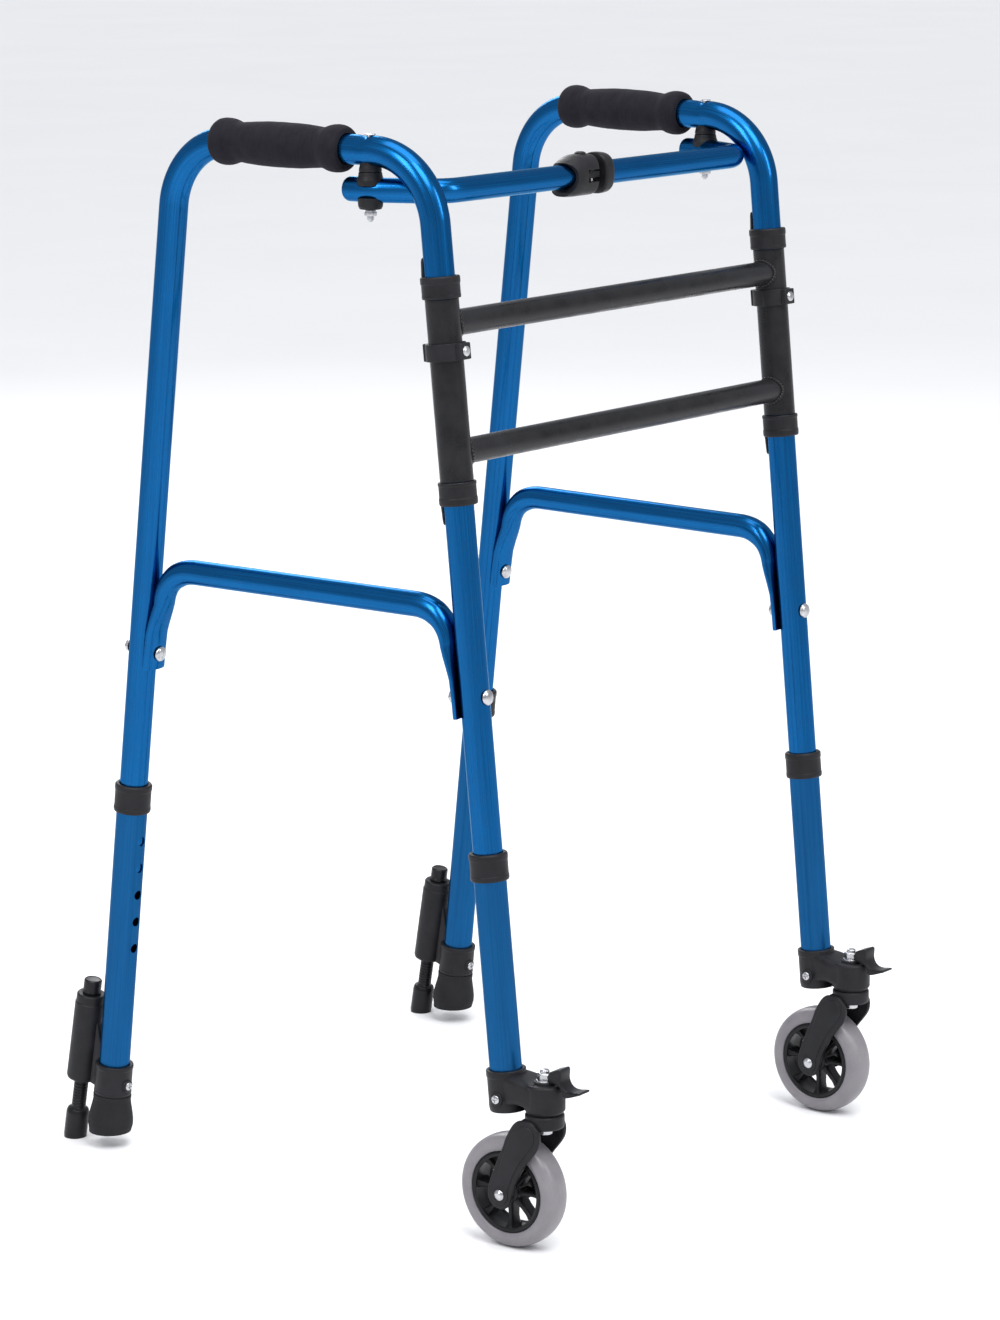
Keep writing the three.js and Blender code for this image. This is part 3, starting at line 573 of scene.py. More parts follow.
BLUE = anodised("anodised_blue", (0.002, 0.075, 0.235), (0.004, 0.125, 0.36), 0.24)
BLUE_LEG = anodised("anodised_blue_satin", (0.003, 0.068, 0.20), (0.006, 0.105, 0.29), 0.36)
# Where a last colour is given to moulded, it is the colour of the painted edge highlight.
COATED = moulded("black_powder_coat", (0.007, 0.007, 0.008), 0.32, 600, 0.10, (0.035, 0.035, 0.04))
PLASTIC = moulded("black_plastic", (0.008, 0.008, 0.0095), 0.46, 1100, 0.12)
FINE_PLASTIC = moulded("black_plastic_gloss", (0.006, 0.006, 0.007), 0.32, 1400, 0.06)
RUBBER = moulded("black_rubber", (0.008, 0.008, 0.009), 0.68, 800, 0.2, (0.03, 0.03, 0.032))
FOAM = foam("charcoal_foam")
TYRE = polyurethane("grey_polyurethane")
ZINC = plated("zinc_plate")


# ------------------------------------------------------- pieces: side frames
def frame_path():
    vc = BAR_Z - BEND_R
    lf, lr = math.atan(LEAN["front"]), math.atan(-LEAN["rear"])
    cf = leg_u("front", vc) + BEND_R / math.cos(lf)
    cr = leg_u("rear", vc) - BEND_R / math.cos(lr)
    rows = []

    def at(u, z, a, flat=0.0):
        # The top of the bar is pressed slightly flat where the pivot bolt clamps it.
        b = (0, -math.sin(a), math.cos(a))
        rows.append(((0, u, z - flat * 0.5), (1, 0, 0), b, TUBE_R + flat * 0.25, TUBE_R - flat * 0.5))

    at(leg_u("front", UPPER_END_Z), UPPER_END_Z, math.pi / 2 - lf)
    for z in (420, 600, 780):
        at(leg_u("front", z), z, math.pi / 2 - lf)
    steps = 26
    for i in range(steps + 1):
        t = math.pi - lf - (math.pi / 2 - lf) * i / steps
        at(cf + BEND_R * math.cos(t), vc + BEND_R * math.sin(t), t - math.pi / 2)
    for d in (-16, -12, -8, -4, 0, 4, 8, 12, 16, 60, 110):
        u = PIVOT_U + d
        if u > cf + 1:
            at(u, BAR_Z, 0, 1.5 * math.exp(-(d / 8.0) ** 2))
    for i in range(steps + 1):
        t = math.pi / 2 - (math.pi / 2 - lr) * i / steps
        at(cr + BEND_R * math.cos(t), vc + BEND_R * math.sin(t), t - math.pi / 2)
    for z in (780, 600, 420, UPPER_END_Z):
        at(leg_u("rear", z), z, lr - math.pi / 2)
    return rows


pair("frame_tube", sweep(frame_path(), 56, 1.5), BLUE, "side_frame", ["frame_tube"])

# Foam grip: two bulged flanges and a crowned belly, slightly uneven like cut foam.
a, b = GRIP_U
mid = (a + b) / 2
crown = spline([(14.6, a), (17.6, a + 0.6), (19.6, a + 4), (20.2, a + 9.5), (19.5, a + 15.5), (17.7, a + 21),
                (17.0, a + 25), (17.7, a + 33), (18.7, a + 46), (19.2, mid), (18.7, b - 46), (17.7, b - 33),
                (17.0, b - 25), (17.7, b - 21), (19.5, b - 15.5), (20.2, b - 9.5), (19.6, b - 4),
                    (17.6, b - 0.6),
                (14.9, b)], 7)
inside = [(13.6, b + 0.0), (13.05, b - 1.2), (13.05, a + 1.2), (13.4, a)]
grip = lathe(crown + inside + [crown[0]], 96)
for i, (x, y, z) in enumerate(grip["v"]):
    r = math.hypot(x, y)
    if r > 14.5:
        d = 0.22 * noise.noise(Vector((x, y, z)) * 0.09) + 0.09 * noise.noise(Vector((x, y, z)) * 0.45)
        grip["v"][i] = (x * (r + d) / r, y * (r + d) / r, z)
grip = put(grip, shift(0, 0, BAR_Z) @ turn(-90, "X"))
pair("grip", grip, FOAM, "side_frame", ["grip"], 60)


# Side brace: one tube bent down at both ends and crushed against the legs.
def brace_rows():
    half = []

    def face(leg, z):
        return leg_u(leg, z) + INNER[leg] * (TUBE_R + 0.55)

    def side(leg):
        s, out = INNER[leg], []
        ends = [(456.5, 2.9, 12.9), (457.6, 3.0, 13.4), (474, 3.1, 13.5), (490, 3.5, 13.4), (500, 4.7, 13.1),
                (509, 6.2, 12.6), (517, 7.6, 12.0)]
        for z, h, w in ends:
            k = min(1.0, (517 - z) / 30)
            out.append((face(leg, z) + s * h, z, LEAN[leg], 1, h, w, 2 + 1.6 * k, 0.016 * k))
        p0, p3 = np.array((face(leg, 517) + s * 7.6, 517.0)), np.array((leg_u(leg, BRACE_Z) + s * 55, BRACE_Z))
        c1, c2 = p0 + np.array((LEAN[leg] * 16, 17)), p3 - np.array((s * 24, 0))
        for i in range(1, 19):
            t = i / 18
            q = (1 - t) ** 3 * p0 + 3 * t * (1 - t) ** 2 * c1 + 3 * t * t * (1 - t) * c2 + t ** 3 * p3
            d = 3 * (1 - t) ** 2 * (c1 - p0) + 6 * t * (1 - t) * (c2 - c1) + 3 * t * t * (p3 - c2)
            k = min(1.0, t * 1.6)
            out.append((*q, *d, 7.6 + (BRACE_R - 7.6) * k, 12.0 + (BRACE_R - 12.0) * k, 2, 0))
        return out

    for leg in ("front", "rear"):
        rows = []
        for u, z, tu, tz, h, w, e, sad in side(leg):
            if leg == "rear":
                tu, tz = -tu, -tz
            n = math.hypot(tu, tz)
            # n points out of the bend on both legs, so the crushed face curls round the leg on its -n side.
            rows.append(((0, u, z), (0, -tz / n, tu / n), (-1, 0, 0), h, w, e, sad))
        half += rows if leg == "front" else rows[::-1]
    return half


pair("side_brace", sweep(brace_rows(), 48), BLUE, "side_frame", ["side_brace"])

# Through bolts: domed head forward, washers, hexagon nut rearward.
for leg in ("front", "rear"):
    seat, pad = TUBE_R + GAP, 6.6 + 0.55
    head, tail = (seat, seat + pad) if leg == "front" else (seat + pad, seat)
    m = across(on_leg(leg, BRACE_BOLT_Z[leg]))
    dome = lathe([(0, -head - 3.6)] + [(6.7 * math.sin(t), -head - 0.5 - 3.1 * math.cos(t))
                                       for t in np.linspace(0.12, math.pi / 2, 12)]
                 + [(6.75, -head), (3.0, -head), (3.0, tail + 0.3), (5.9, tail + 0.3), (5.9, tail + 1.2),
                    (2.9, tail + 1.2), (2.9, tail + 5.4), (2.2, tail + 6.2), (0, tail + 6.2)], 48)
    pair("brace_bolt_" + leg, put(join(dome, hexagon(5.6, tail + 1.2, tail + 4.4)), m), ZINC, "side_frame",
         ["brace_bolt_" + leg])

# ---------------------------------------------------------- pieces: lower legs
LEG_Z = {"front": (123.4, COLLAR["front"][1] - 2.6), "rear": (18.0, COLLAR["rear"][1] - 2.6)}
for leg in ("front", "rear"):
    z0, z1 = LEG_Z[leg]
    m = on_leg(leg, z0)
    tube_h = along(leg, z0, z1)
    shell = put(lathe([(LEG_BORE, 0), (LEG_R - 0.3, 0), (LEG_R, 0.3), (LEG_R, tube_h * 0.33),
        (LEG_R, tube_h * 0.66),
                       (LEG_R, tube_h), (LEG_BORE, tube_h), (LEG_BORE, 0)], 72), m)
    holes = [put(lathe([(0, 5), (HOLE_R, 5), (HOLE_R, 20), (0, 20)], 28),
                 across(on_leg(leg, BUTTON_Z[leg] - i * HOLE_PITCH), leg == "rear")) for i in range(5)]
    pair("lower_leg_" + leg, boolean(shell, holes, grain=m), BLUE_LEG, "leg_" + leg, ["lower_leg_" + leg])
    c0, c1 = COLLAR[leg]
    h = along(leg, c0, c1)
    cuff = hoop([(LEG_R + GAP, 0), (16.3, 0, 0.6), (16.7, 1.6, 0.8), (16.7, 4.2, 0.3), (16.4, 4.6, 0.3),
        (16.4, h - 6.0, 0.3),
                 (16.8, h - 5.2, 0.5), (16.8, h - 1.4, 0.9), (15.7, h, 0.8), (13.1, h, 0.3), (13.1, h - 2.2),
                 (LEG_R + GAP, h - 2.2)], 80, 0.4)
    pair("collar_" + leg, put(cuff, on_leg(leg, c0)), PLASTIC, "leg_" + leg, ["collar_" + leg])
    stud = pin([(0, 2.6), (5.7, 2.6), (5.7, 4.1), (3.9, 4.1), (3.9, 10.6, 1.4), (2.9, 11.9, 1.0), (0, 12.4)],
        36)
    pair("snap_button_" + leg, put(stud, across(on_leg(leg, BUTTON_Z[leg]), leg == "rear")), ZINC,
         "button_" + leg, ["snap_button_" + leg])

# -------------------------------------------------------------- pieces: ladder
SLEEVE_H = along("front", *SLEEVE_Z)


def crossbar(z):
    """Crossbar coped onto both sleeves, with its two weld beads."""
    c = (LEFT @ Vector((0, leg_u("front", z), z)))
    up = (LEFT.to_3x3() @ Vector((0, LEAN["front"], 1))).normalized()

    def reach(y, zz, r):
        # x where a line along X at height zz, depth y meets a cylinder of radius r on the leg axis
        d = Vector((0, y - c.y, zz - c.z))
        ex = Vector((1, 0, 0))
        e = ex - up * ex.dot(up)
        q = d - up * d.dot(up)
        a2, b2, c2 = e.dot(e), 2 * e.dot(q), q.dot(q) - r * r
        return c.x + (-b2 - math.sqrt(max(b2 * b2 - 4 * a2 * c2, 0))) / (2 * a2)

    sides, v, g, f = 64, [], [], []
    ring_at = [-1, -0.6, -0.2, 0.2, 0.6, 1]
    for s in ring_at:
        for k in range(sides):
            t = 2 * math.pi * k / sides
            y, zz = c.y + CROSSBAR_R * math.cos(t), z + CROSSBAR_R * math.sin(t)
            x = reach(y, zz, SLEEVE_R - 0.35) * s
            v.append((x, y, zz))
            g.append((CROSSBAR_R * math.cos(t), CROSSBAR_R * math.sin(t), x))
    for i in range(len(ring_at) - 1):
        for k in range(sides):
            j = (k + 1) % sides
            f.append((i * sides + k, i * sides + j, (i + 1) * sides + j, (i + 1) * sides + k))
    n = len(v)
    for i, s in ((0, -1), (len(ring_at) - 1, 1)):
        v.append((np.mean([q[0] for q in v[i * sides:(i + 1) * sides]]), c.y, z))
        g.append((0, 0, v[-1][0]))
        f += [(i * sides + k, i * sides + (k + 1) % sides, n if s < 0 else n + 1)[::s] for k in range(sides)]
    bar = solid(v, f, g)
    beads = []
    for s in (-1, 1):
        centre, ring = [], 120
        for k in range(ring):
            t = 2 * math.pi * k / ring
            r = CROSSBAR_R + 0.5
            y, zz = c.y + r * math.cos(t), z + r * math.sin(t)
            centre.append(np.array((s * (reach(y, zz, SLEEVE_R + 0.5)), y, zz)))
        bv, bf, m = [], [], 10
        for k in range(ring):
            p = centre[k]
            tan = centre[(k + 1) % ring] - centre[k - 1]
            tan /= np.linalg.norm(tan)
            n1 = np.cross(tan, (1, 0, 0))
            n1 /= np.linalg.norm(n1)
            n2 = np.cross(tan, n1)
            rr = 1.75 + 0.28 * math.sin(2 * math.pi * k / 4.0)
            for q in range(m):
                w = 2 * math.pi * q / m
                bv.append(p + rr * (n1 * math.cos(w) + n2 * math.sin(w)))
        for k in range(ring):
            for q in range(m):
                k2, q2 = (k + 1) % ring, (q + 1) % m
                bf.append((k * m + q, k * m + q2, k2 * m + q2, k2 * m + q))
        beads.append(solid(bv, bf))
    return join(bar, *beads)


sleeve = put(lathe([(SLEEVE_BORE, 0), (SLEEVE_R - 0.3, 0), (SLEEVE_R, 0.3), (SLEEVE_R, SLEEVE_H * 0.5),
                    (SLEEVE_R, SLEEVE_H - 0.3), (SLEEVE_R - 0.3, SLEEVE_H), (SLEEVE_BORE, SLEEVE_H),
                    (SLEEVE_BORE, 0)], 72), LEFT @ on_leg("front", SLEEVE_Z[0]))
build("ladder", join(sleeve, put(sleeve, MIRROR), *[crossbar(z) for z in CROSSBAR_Z]), COATED, "ladder",
      ["ladder"])


def tongue(z0, z1, r1, tip):
    """Tapered, round-ended strip along the leg, on its rearward side."""
    s = 1 if z1 > z0 else -1
    out = []
    for t in np.linspace(0, 1, 14):
        z = z0 + (z1 - z0) * t
        half = 6.8 if t < 0.72 else 6.8 * math.sqrt(max(0.0, 1 - ((t - 0.72) / 0.28) ** 2)) + 0.25
        out.append((z, half, r1 - 0.9 * t))
    v, f = [], []
    m = 9
    for z, half, r in out:
        for layer in (SLEEVE_BORE, r):
            for k in range(m):
                a0 = math.asin(half / 15.0) * (2 * k / (m - 1) - 1)
                v.append((layer * math.sin(a0), layer * math.cos(a0), z))
    for i in range(len(out) - 1):
        p, q = i * 2 * m, (i + 1) * 2 * m
        for k in range(m - 1):
            f.append((p + k, p + k + 1, q + k + 1, q + k))
            f.append((p + m + k + 1, p + m + k, q + m + k, q + m + k + 1))
        f.append((p + m, p, q, q + m))
        f.append((p + m - 1, p + 2 * m - 1, q + 2 * m - 1, q + m - 1))
    for p, flip in ((0, 1), ((len(out) - 1) * 2 * m, -1)):
        for k in range(m - 1):
            f.append((p + k, p + m + k, p + m + k + 1, p + k + 1)[::flip])
    return solid(v, f)


h = 18.6
top = on_leg("front", SLEEVE_Z[1] + GAP)
cap = hoop([(SLEEVE_BORE, 0, 0.1), (16.2, 0, 0.6), (16.5, 2.0, 0.4), (16.3, 3.4, 0.4), (16.3, 12.0, 0.4),
    (16.8, 13.0, 0.5),
            (16.8, h - 1.2, 0.8), (16.0, h, 0.7), (SLEEVE_BORE, h, 0.1)], 80)
low = on_leg("front", SLEEVE_Z[0] - GAP)
cup = hoop([(SLEEVE_BORE, -19.6, 0.1), (15.8, -19.6, 0.7), (16.4, -18.2, 0.8), (16.4, -14.0, 0.4),
    (16.0, -13.0, 0.4),
            (16.0, -3.4, 0.4), (16.4, -2.4, 0.4), (16.4, -0.8, 0.6), (15.9, 0, 0.5), (SLEEVE_BORE, 0, 0.1)], 80)
in_ = SLEEVE_R + GAP
hc = along("front", *CLIP_Z)
clip = on_leg("front", CLIP_Z[0])
band = boolean(hoop([(in_, 0, 0.1), (17.3, 0, 0.5), (17.3, hc, 0.5), (in_, hc, 0.1)], 80),
               [put(slab(rounded([(-7, -21, 1.5), (7, -21, 1.5), (7, -12, 0), (-7, -12, 0)]), 0.3, hc - 0.3,
                   1.0), shift()),
                put(slab(rounded([(-7.2, 12, 0), (7.2, 12, 0), (7.2, 19.2, 1.5), (-7.2, 19.2, 1.5)]), -0.2,
                    hc + 0.2, 1.0), shift())],
               "UNION")
band = boolean(band, [lathe([(0, -2), (in_, -2), (in_, hc + 2), (0, hc + 2)], 80)])
rivet = pin([(0, 15.2), (2.3, 15.2), (2.3, 20.6), (4.6, 20.6, 0.3), (4.3, 21.8, 0.8), (2.4, 22.7, 1.4),
    (0, 22.9)], 40)
for side in SIDES:
    m = LEFT if side == "left" else MIRROR @ LEFT
    for name, p, mat, nodes, slot in (
            ("bushing_top", put(join(cap, tongue(h - 1, h + 16.5, 15.7, 1)), top), PLASTIC, ["bushing_top"],
                "black_plastic"),
            ("bushing_low", put(join(cup, tongue(-18.6, -37.5, 15.5, -1)), low), PLASTIC, ["bushing_low"],
                "black_plastic"),
            ("sleeve_clip", put(band, clip), PLASTIC, ["sleeve_clip"], "black_plastic"),
            ("clip_rivet", put(rivet, clip @ shift(0, 0, hc / 2) @ turn(90, "X")), ZINC, [], "zinc")):
        q = put(p, LEFT)
        q = q if side == "left" else put(q, MIRROR)
        build(f"{name}_{side}", q, mat, "ladder", [f"{n}_{side}" for n in nodes])

# ----------------------------------------------------- pieces: folding brace
pts = []
d_kink, r_bend = 50, 30
k = d_kink * math.tan(ARM_TOE / 2)
for q in (0.0, 0.4, 1.4, 3.0, 5.0):      # rounded rear end
    pts.append((0, -52.0 - q, 0, -1, ARM_R * math.sin(math.acos(max(0.0, 1 - (q + 0.25) / 5.25)))))
pts.append((0, PIVOT_U + k + 8, 0, -1, ARM_R))
for i in range(9):
    t = ARM_TOE * i / 8
    pts.append((-d_kink * (1 - math.cos(t)), PIVOT_U + k - d_kink * math.sin(t), -math.sin(t), -math.cos(t),
        ARM_R))
u0 = ARM_BAR_U + r_bend * (1 - math.sin(ARM_TOE))
o0 = -(PIVOT_U - u0) * math.tan(ARM_TOE)
for i in range(21):
    t = ARM_TOE + (math.pi / 2 - ARM_TOE) * i / 20
    pts.append((o0 - r_bend * (math.cos(ARM_TOE) - math.cos(t)),
        u0 - r_bend * (math.sin(t) - math.sin(ARM_TOE)),
                -math.sin(t), -math.cos(t), ARM_R))
rows = []
for x, y, tx, ty, r in pts:
    p = LEFT @ Vector((x, y, ARM_Z))
    t = (LEFT.to_3x3() @ Vector((tx, ty, 0))).normalized()
    rows.append([p, t, r])
rows[-1][1] = Vector((-1, 0, 0))
BAR_Y = rows[-1][0].y


def arm(x_end):
    st = rows + [[Vector((x, BAR_Y, ARM_Z)), Vector((-1, 0, 0)), ARM_R] for x in (120, 70, x_end)]
    return sweep([(p, (0, 0, 1), t.cross(Vector((0, 0, 1))), r, r) for p, t, r in st], 48)


build("brace_arm_left", arm(-2.2), BLUE, "brace_half_left", ["brace_arm_left"])
build("brace_arm_right", put(arm(35.0), MIRROR), BLUE, "brace_half_right", ["brace_arm_right"])

# Pivot stack: low bolt head, saddle spacers, washer cup and nut.
pv = shift(0, PIVOT_U, 0)
seat = BAR_Z + TUBE_R + GAP
bolt = join(pin([(0, 869), (1.6, 869, 0.4), (2.9, 870.8, 0.3), (3.0, 874, 0.1), (3.0, seat, 0.1),
    (5.0, seat, 0.3),
                 (4.6, seat + 0.8, 0.6), (0, seat + 1.2)], 40),
            hexagon(5.4, 874, 877.6), pin([(0, 877.2), (4.5, 877.2), (4.3, 879.2, 0.6), (0, 879.2)], 40))
pair("pivot_bolt", put(bolt, pv), ZINC, "side_frame", ["pivot_bolt"])
pair("pivot_spacer_upper", put(hoop([(3.3, 911, 0), (9.8, 911, 0.6), (9.4, 914.0, 1.5), (8.6, 917, 0.9),
    (8.6, 920.6, 0.3),
                                     (3.3, 920.6, 0)], 64), pv), PLASTIC, "side_frame", ["pivot_spacer_upper"])
pair("pivot_spacer_lower", put(hoop([(3.3, 899.5, 0), (11.8, 899.5, 0.3), (11.6, 904.0, 0.9),
    (10.2, 907.6, 0.9), (9.8, 910.6, 0.7),
                                     (3.3, 910.6, 0)], 64), pv), PLASTIC, "brace_half", ["pivot_spacer_lower"])
pair("pivot_washer", put(hoop([(3.3, 879.6, 0), (9.2, 879.6, 0.8), (10.4, 882.0, 0.9), (11.0, 889.0, 0.3),
    (3.3, 889.0, 0)], 64), pv),
     PLASTIC, "brace_half", ["pivot_washer"])

# Centre lock: slotted housing on the right half, collar and tongue on the left.
def oval(rows, facets=72):
    """Rounded oblong sections along x: (x, top, bottom, half width)."""
    return sweep([((x, 0, (t + b) / 2), (0, 0, 1), (0, -1, 0), (t - b) / 2, w, 2.7) for x, t, b,
        w in spline(rows, 4)], facets)


shell = oval([(-53.4, 907.6, 878.6, 12.4), (-49.0, 909.6, 878.2, 13.6), (-44.0, 911.6, 878.0, 14.6),
    (-39.0, 913.4, 878.0, 15.0),
              (-33.0, 914.0, 878.0, 15.0), (-22.0, 914.0, 878.0, 15.0), (-18.0, 913.8, 878.2, 14.9),
                  (-16.9, 913.3, 878.8, 14.4),
              (-16.6, 912.4, 879.6, 13.6)])
bore = put(lathe([(0, -70), (ARM_R + GAP, -70), (ARM_R + GAP, -34.6), (0, -34.6)], 64),
    shift(0, 0, ARM_Z) @ turn(90, "Y"))
mouth = put(lathe([(0, -30), (15, -30), (15, 30), (0, 30)], 72), shift(-61, 0, 895) @ turn(90, "X"))
slot_box = slab([(-33, -20), (0, -20), (0, 20), (-33, 20)], ARM_Z - 5.5, ARM_Z + 5.5, 0.01, 1)
well = put(lathe([(0, 907.8), (5.4, 907.8), (5.4, 920), (0, 920)], 48), shift(-26, 0, 0))
housing = put(boolean(shell, [bore, mouth, slot_box, well]), shift(0, BAR_Y, 0), False)
build("lock_housing", housing, PLASTIC, "brace_half_right", ["lock_housing"], 30)
button = put(pin([(0, 911.3), (5.0, 911.3), (5.0, 914.8, 0.9), (3.4, 915.9, 1.2), (0, 915.6)], 48),
    shift(-26, BAR_Y, 0))
build("lock_button", button, FINE_PLASTIC, "lock_button", ["lock_button"])
hinge = put(pin([(0, ARM_Z - 9), (2.4, ARM_Z - 9, 0.4), (2.4, ARM_Z + 9, 0.4), (0, ARM_Z + 9)], 32),
    shift(-10.2, BAR_Y, 0))
build("lock_hinge_pin", hinge, ZINC, "brace_half_left", [])
ringlet = oval([(-6.8, 912.0, 880.0, 13.2), (-6.2, 913.2, 878.8, 14.3), (-4.8, 914.0, 878.0, 15.0),
    (0, 914.0, 878.0, 15.0),
                (3.6, 913.4, 878.4, 14.8), (5.8, 911.8, 879.6, 14.0), (6.7, 909.6, 881.4, 12.8)])
ringlet = boolean(ringlet, [put(lathe([(0, -2.6), (ARM_R + GAP, -2.6), (ARM_R + GAP, 20), (0, 20)], 64),
    shift(0, 0, ARM_Z) @ turn(90, "Y"))])
tab = join(slab(rounded([(-25.5, -7, 3), (-25.5, 7, 3), (-5.8, 7, 0), (-5.8, -7, 0)][::-1]), ARM_Z - 2.6,
    ARM_Z + 2.6, 0.5),
           put(pin([(0, ARM_Z - 3.6), (4.0, ARM_Z - 3.6, 0.4), (4.0, ARM_Z + 3.6, 0.4), (0, ARM_Z + 3.6)], 40),
               shift(-10.2, 0, 0)))
build("lock_knuckle", put(join(ringlet, tab), shift(0, BAR_Y, 0), False), FINE_PLASTIC, "brace_half_left",
    ["lock_knuckle"])

# ------------------------------------------------------ pieces: front casters
kp = shift(0, KINGPIN_U, 0)
leg_axis = on_leg("front", 120.3)
sock_h = along("front", 120.3, 156.2)
socket = hoop([(LEG_R + GAP, 0, 0.1), (16.4, 0, 1.4), (17.1, 5, 1.0), (16.8, 12, 1.0),
    (16.8, sock_h - 6.5, 0.4),
               (17.3, sock_h - 5.6, 0.5), (17.3, sock_h, 1.0), (LEG_R + GAP, sock_h, 0.3)], 80)
floor_disc = pin([(0, 0.4), (LEG_R + 1, 0.4), (LEG_R + 1, 2.4), (0, 2.4)], 64)
fine = spline([(15.0, 155.0, 124.8, 5, -224), (16.2, 154.6, 127.4, 5, -231), (16.8, 153.8, 129.2, 5, -237),
    (17.0, 152.8, 129.4, 5, -243),
               (17.2, 151.8, 128.2, 5, -249), (17.2, 151.2, 126.8, 6, -255)], 4)
arm_body = sweep([((0, u, (zt + zb) / 2), (0, 0, 1), (1, 0, 0), (zt - zb) / 2, w, e) for w, zt, zb, e,
    u in fine], 64)
boss = pin([(0, 124.3), (15.4, 124.3, 1.2), (17.7, 127.6, 1.0), (17.7, 149.0, 0.8), (16.6, 150.5, 1.0),
    (0, 150.5)], 80)
# A flat pad each side where the leg screw goes in, and a shallow ring under the kingpin head.
pads = put(pin([(0, -17.9), (6.0, -17.9, 0.8), (6.5, -15, 0.3), (6.5, 15, 0.3), (6.0, 17.9, 0.8), (0, 17.9)],
    48), on_leg("front", 133) @ turn(90, "Y"))
pads = boolean(pads, [put(lathe([(0, -40), (LEG_R + 0.8, -40), (LEG_R + 0.8, 40), (0, 40)], 64),
    on_leg("front", 133))])
neck = put(pin([(0, 149), (10.2, 149, 0.3), (9.6, 152.4, 0.7), (0, 152.4)], 64), kp)
pair("caster_bracket", join(put(socket, leg_axis), put(floor_disc, leg_axis), arm_body, put(boss, kp), pads,
    neck), PLASTIC,
     "leg_front", ["caster_bracket"])


def screw_head(z, r=3.9, drop=1.0):
    """Pan head with a cross recess, sitting at height z."""
    head = pin([(0, z - 2), (r, z - 2, 0.2), (r, z + 0.4, 0.9), (r * 0.5, z + 1.1, 1.5), (0, z + 1.1)], 40)
    cross = [slab([(-r * 0.6, -0.5), (r * 0.6, -0.5), (r * 0.6, 0.5), (-r * 0.6, 0.5)], z + 1.1 - drop, z + 3,
        0.01, 1),
             slab([(-0.5, -r * 0.6), (0.5, -r * 0.6), (0.5, r * 0.6), (-0.5, r * 0.6)], z + 1.1 - drop, z + 3,
                 0.01, 1)]
    return boolean(head, cross, grain=Matrix.Identity(4))


m = on_leg("front", 133)
heads = join(put(screw_head(18.7), m @ turn(90, "Y")), put(screw_head(18.7), m @ turn(-90, "Y")))
pair("caster_screws", heads, ZINC, "leg_front", [])
lobes = []
for i in range(96):
    t = 2 * math.pi * i / 96
    r = 6.2 + 0.45 * math.cos(6 * t)
    lobes.append((r * math.cos(t), r * math.sin(t)))
king = join(slab(lobes, 152.6, 159.6, 1.4, 4), pin([(0, 157), (4.4, 157, 0.5), (4.0, 162.4, 1.6), (0, 163)],
    48),
            pin([(0, 152), (7.6, 152, 0.3), (7.4, 153.4, 0.5), (0, 153.4)], 48),
            pin([(0, 106), (6.9, 106, 0.8), (6.9, 111.4, 0.3), (0, 111.4)], 40))
pair("kingpin", put(king, kp), ZINC, "leg_front", [])

cheek = spline([(-258, 119.6), (-262.5, 116), (-265.3, 113), (-266.9, 107.2), (-265.9, 99.9), (-261.7, 92.8),
    (-253.4, 82.3),
                (-247, 72), (-241.5, 61), (-238, 50.6), (-235, 41.4), (-228.4, 37), (-219.4, 38.8),
                    (-213.9, 46), (-213.8, 55),
                (-217.2, 66), (-222.4, 79), (-228.9, 93.3), (-232, 101.9), (-237.3, 111.8), (-242, 117.4),
                    (-247, 119.6)], 5, True)
rib = spline([(-256, 115.4), (-261, 111), (-262, 104), (-258.5, 97), (-250, 86), (-243, 75), (-237.6, 63),
    (-233, 51), (-229, 45),
              (-224, 43), (-219.8, 47.6), (-220, 56), (-224, 69), (-228.5, 81), (-233, 94), (-237.5, 104),
                  (-243, 112),
              (-249, 115.4)], 5, True)
crown = put(pin([(0, 112), (16.4, 112, 1.2), (17, 114, 1.0), (17, 122.6, 1.2), (15.6, 124, 0.8), (0, 124)], 80),
    kp)
bridge_fork = slab(rounded([(-17.2, -261, 4), (17.2, -261, 4), (17.2, -245, 3), (-17.2, -245, 3)]), 113, 119.4,
    1.2)
bore = [put(lathe([(0, 98), (5.3, 98), (5.3, 130), (0, 130)], 48), kp)]
top_fork = boolean(crown, bore)
plates = [plate(cheek, s * 16.8 if s > 0 else -21.0, 21.0 if s > 0 else -16.8, 1.3, 4) for s in (1, -1)]
skins = [plate(rib, 19.6 if s > 0 else -21.9, 21.9 if s > 0 else -19.6, 0.9, 3) for s in (1, -1)]
washers = [put(pin([(0, s * 20.6), (8.6, s * 20.6, 0.2), (8.2, s * 22.1, 0.7), (0, s * 22.1)], 56),
               shift(0, AXLE_U, AXLE_Z) @ turn(90, "Y")) for s in (1, -1)]
pair("caster_fork", join(top_fork, boolean(bridge_fork, bore), *plates, *skins, *washers), PLASTIC, "fork",
    ["caster_fork"])
axle = join(pin([(0, -20), (3.9, -20), (3.9, 20), (0, 20)], 32),
            *[put(pin([(0, 20.8), (4.9, 20.8, 0.2), (4.8, 22.6, 0.8), (2.6, 24.4, 1.6), (0, 24.6)], 40),
                turn(0 if s > 0 else 180, "X")) for s in (1, -1)])
pair("axle_bolt", put(axle, shift(0, AXLE_U, AXLE_Z) @ turn(90, "Y")), ZINC, "fork", [])

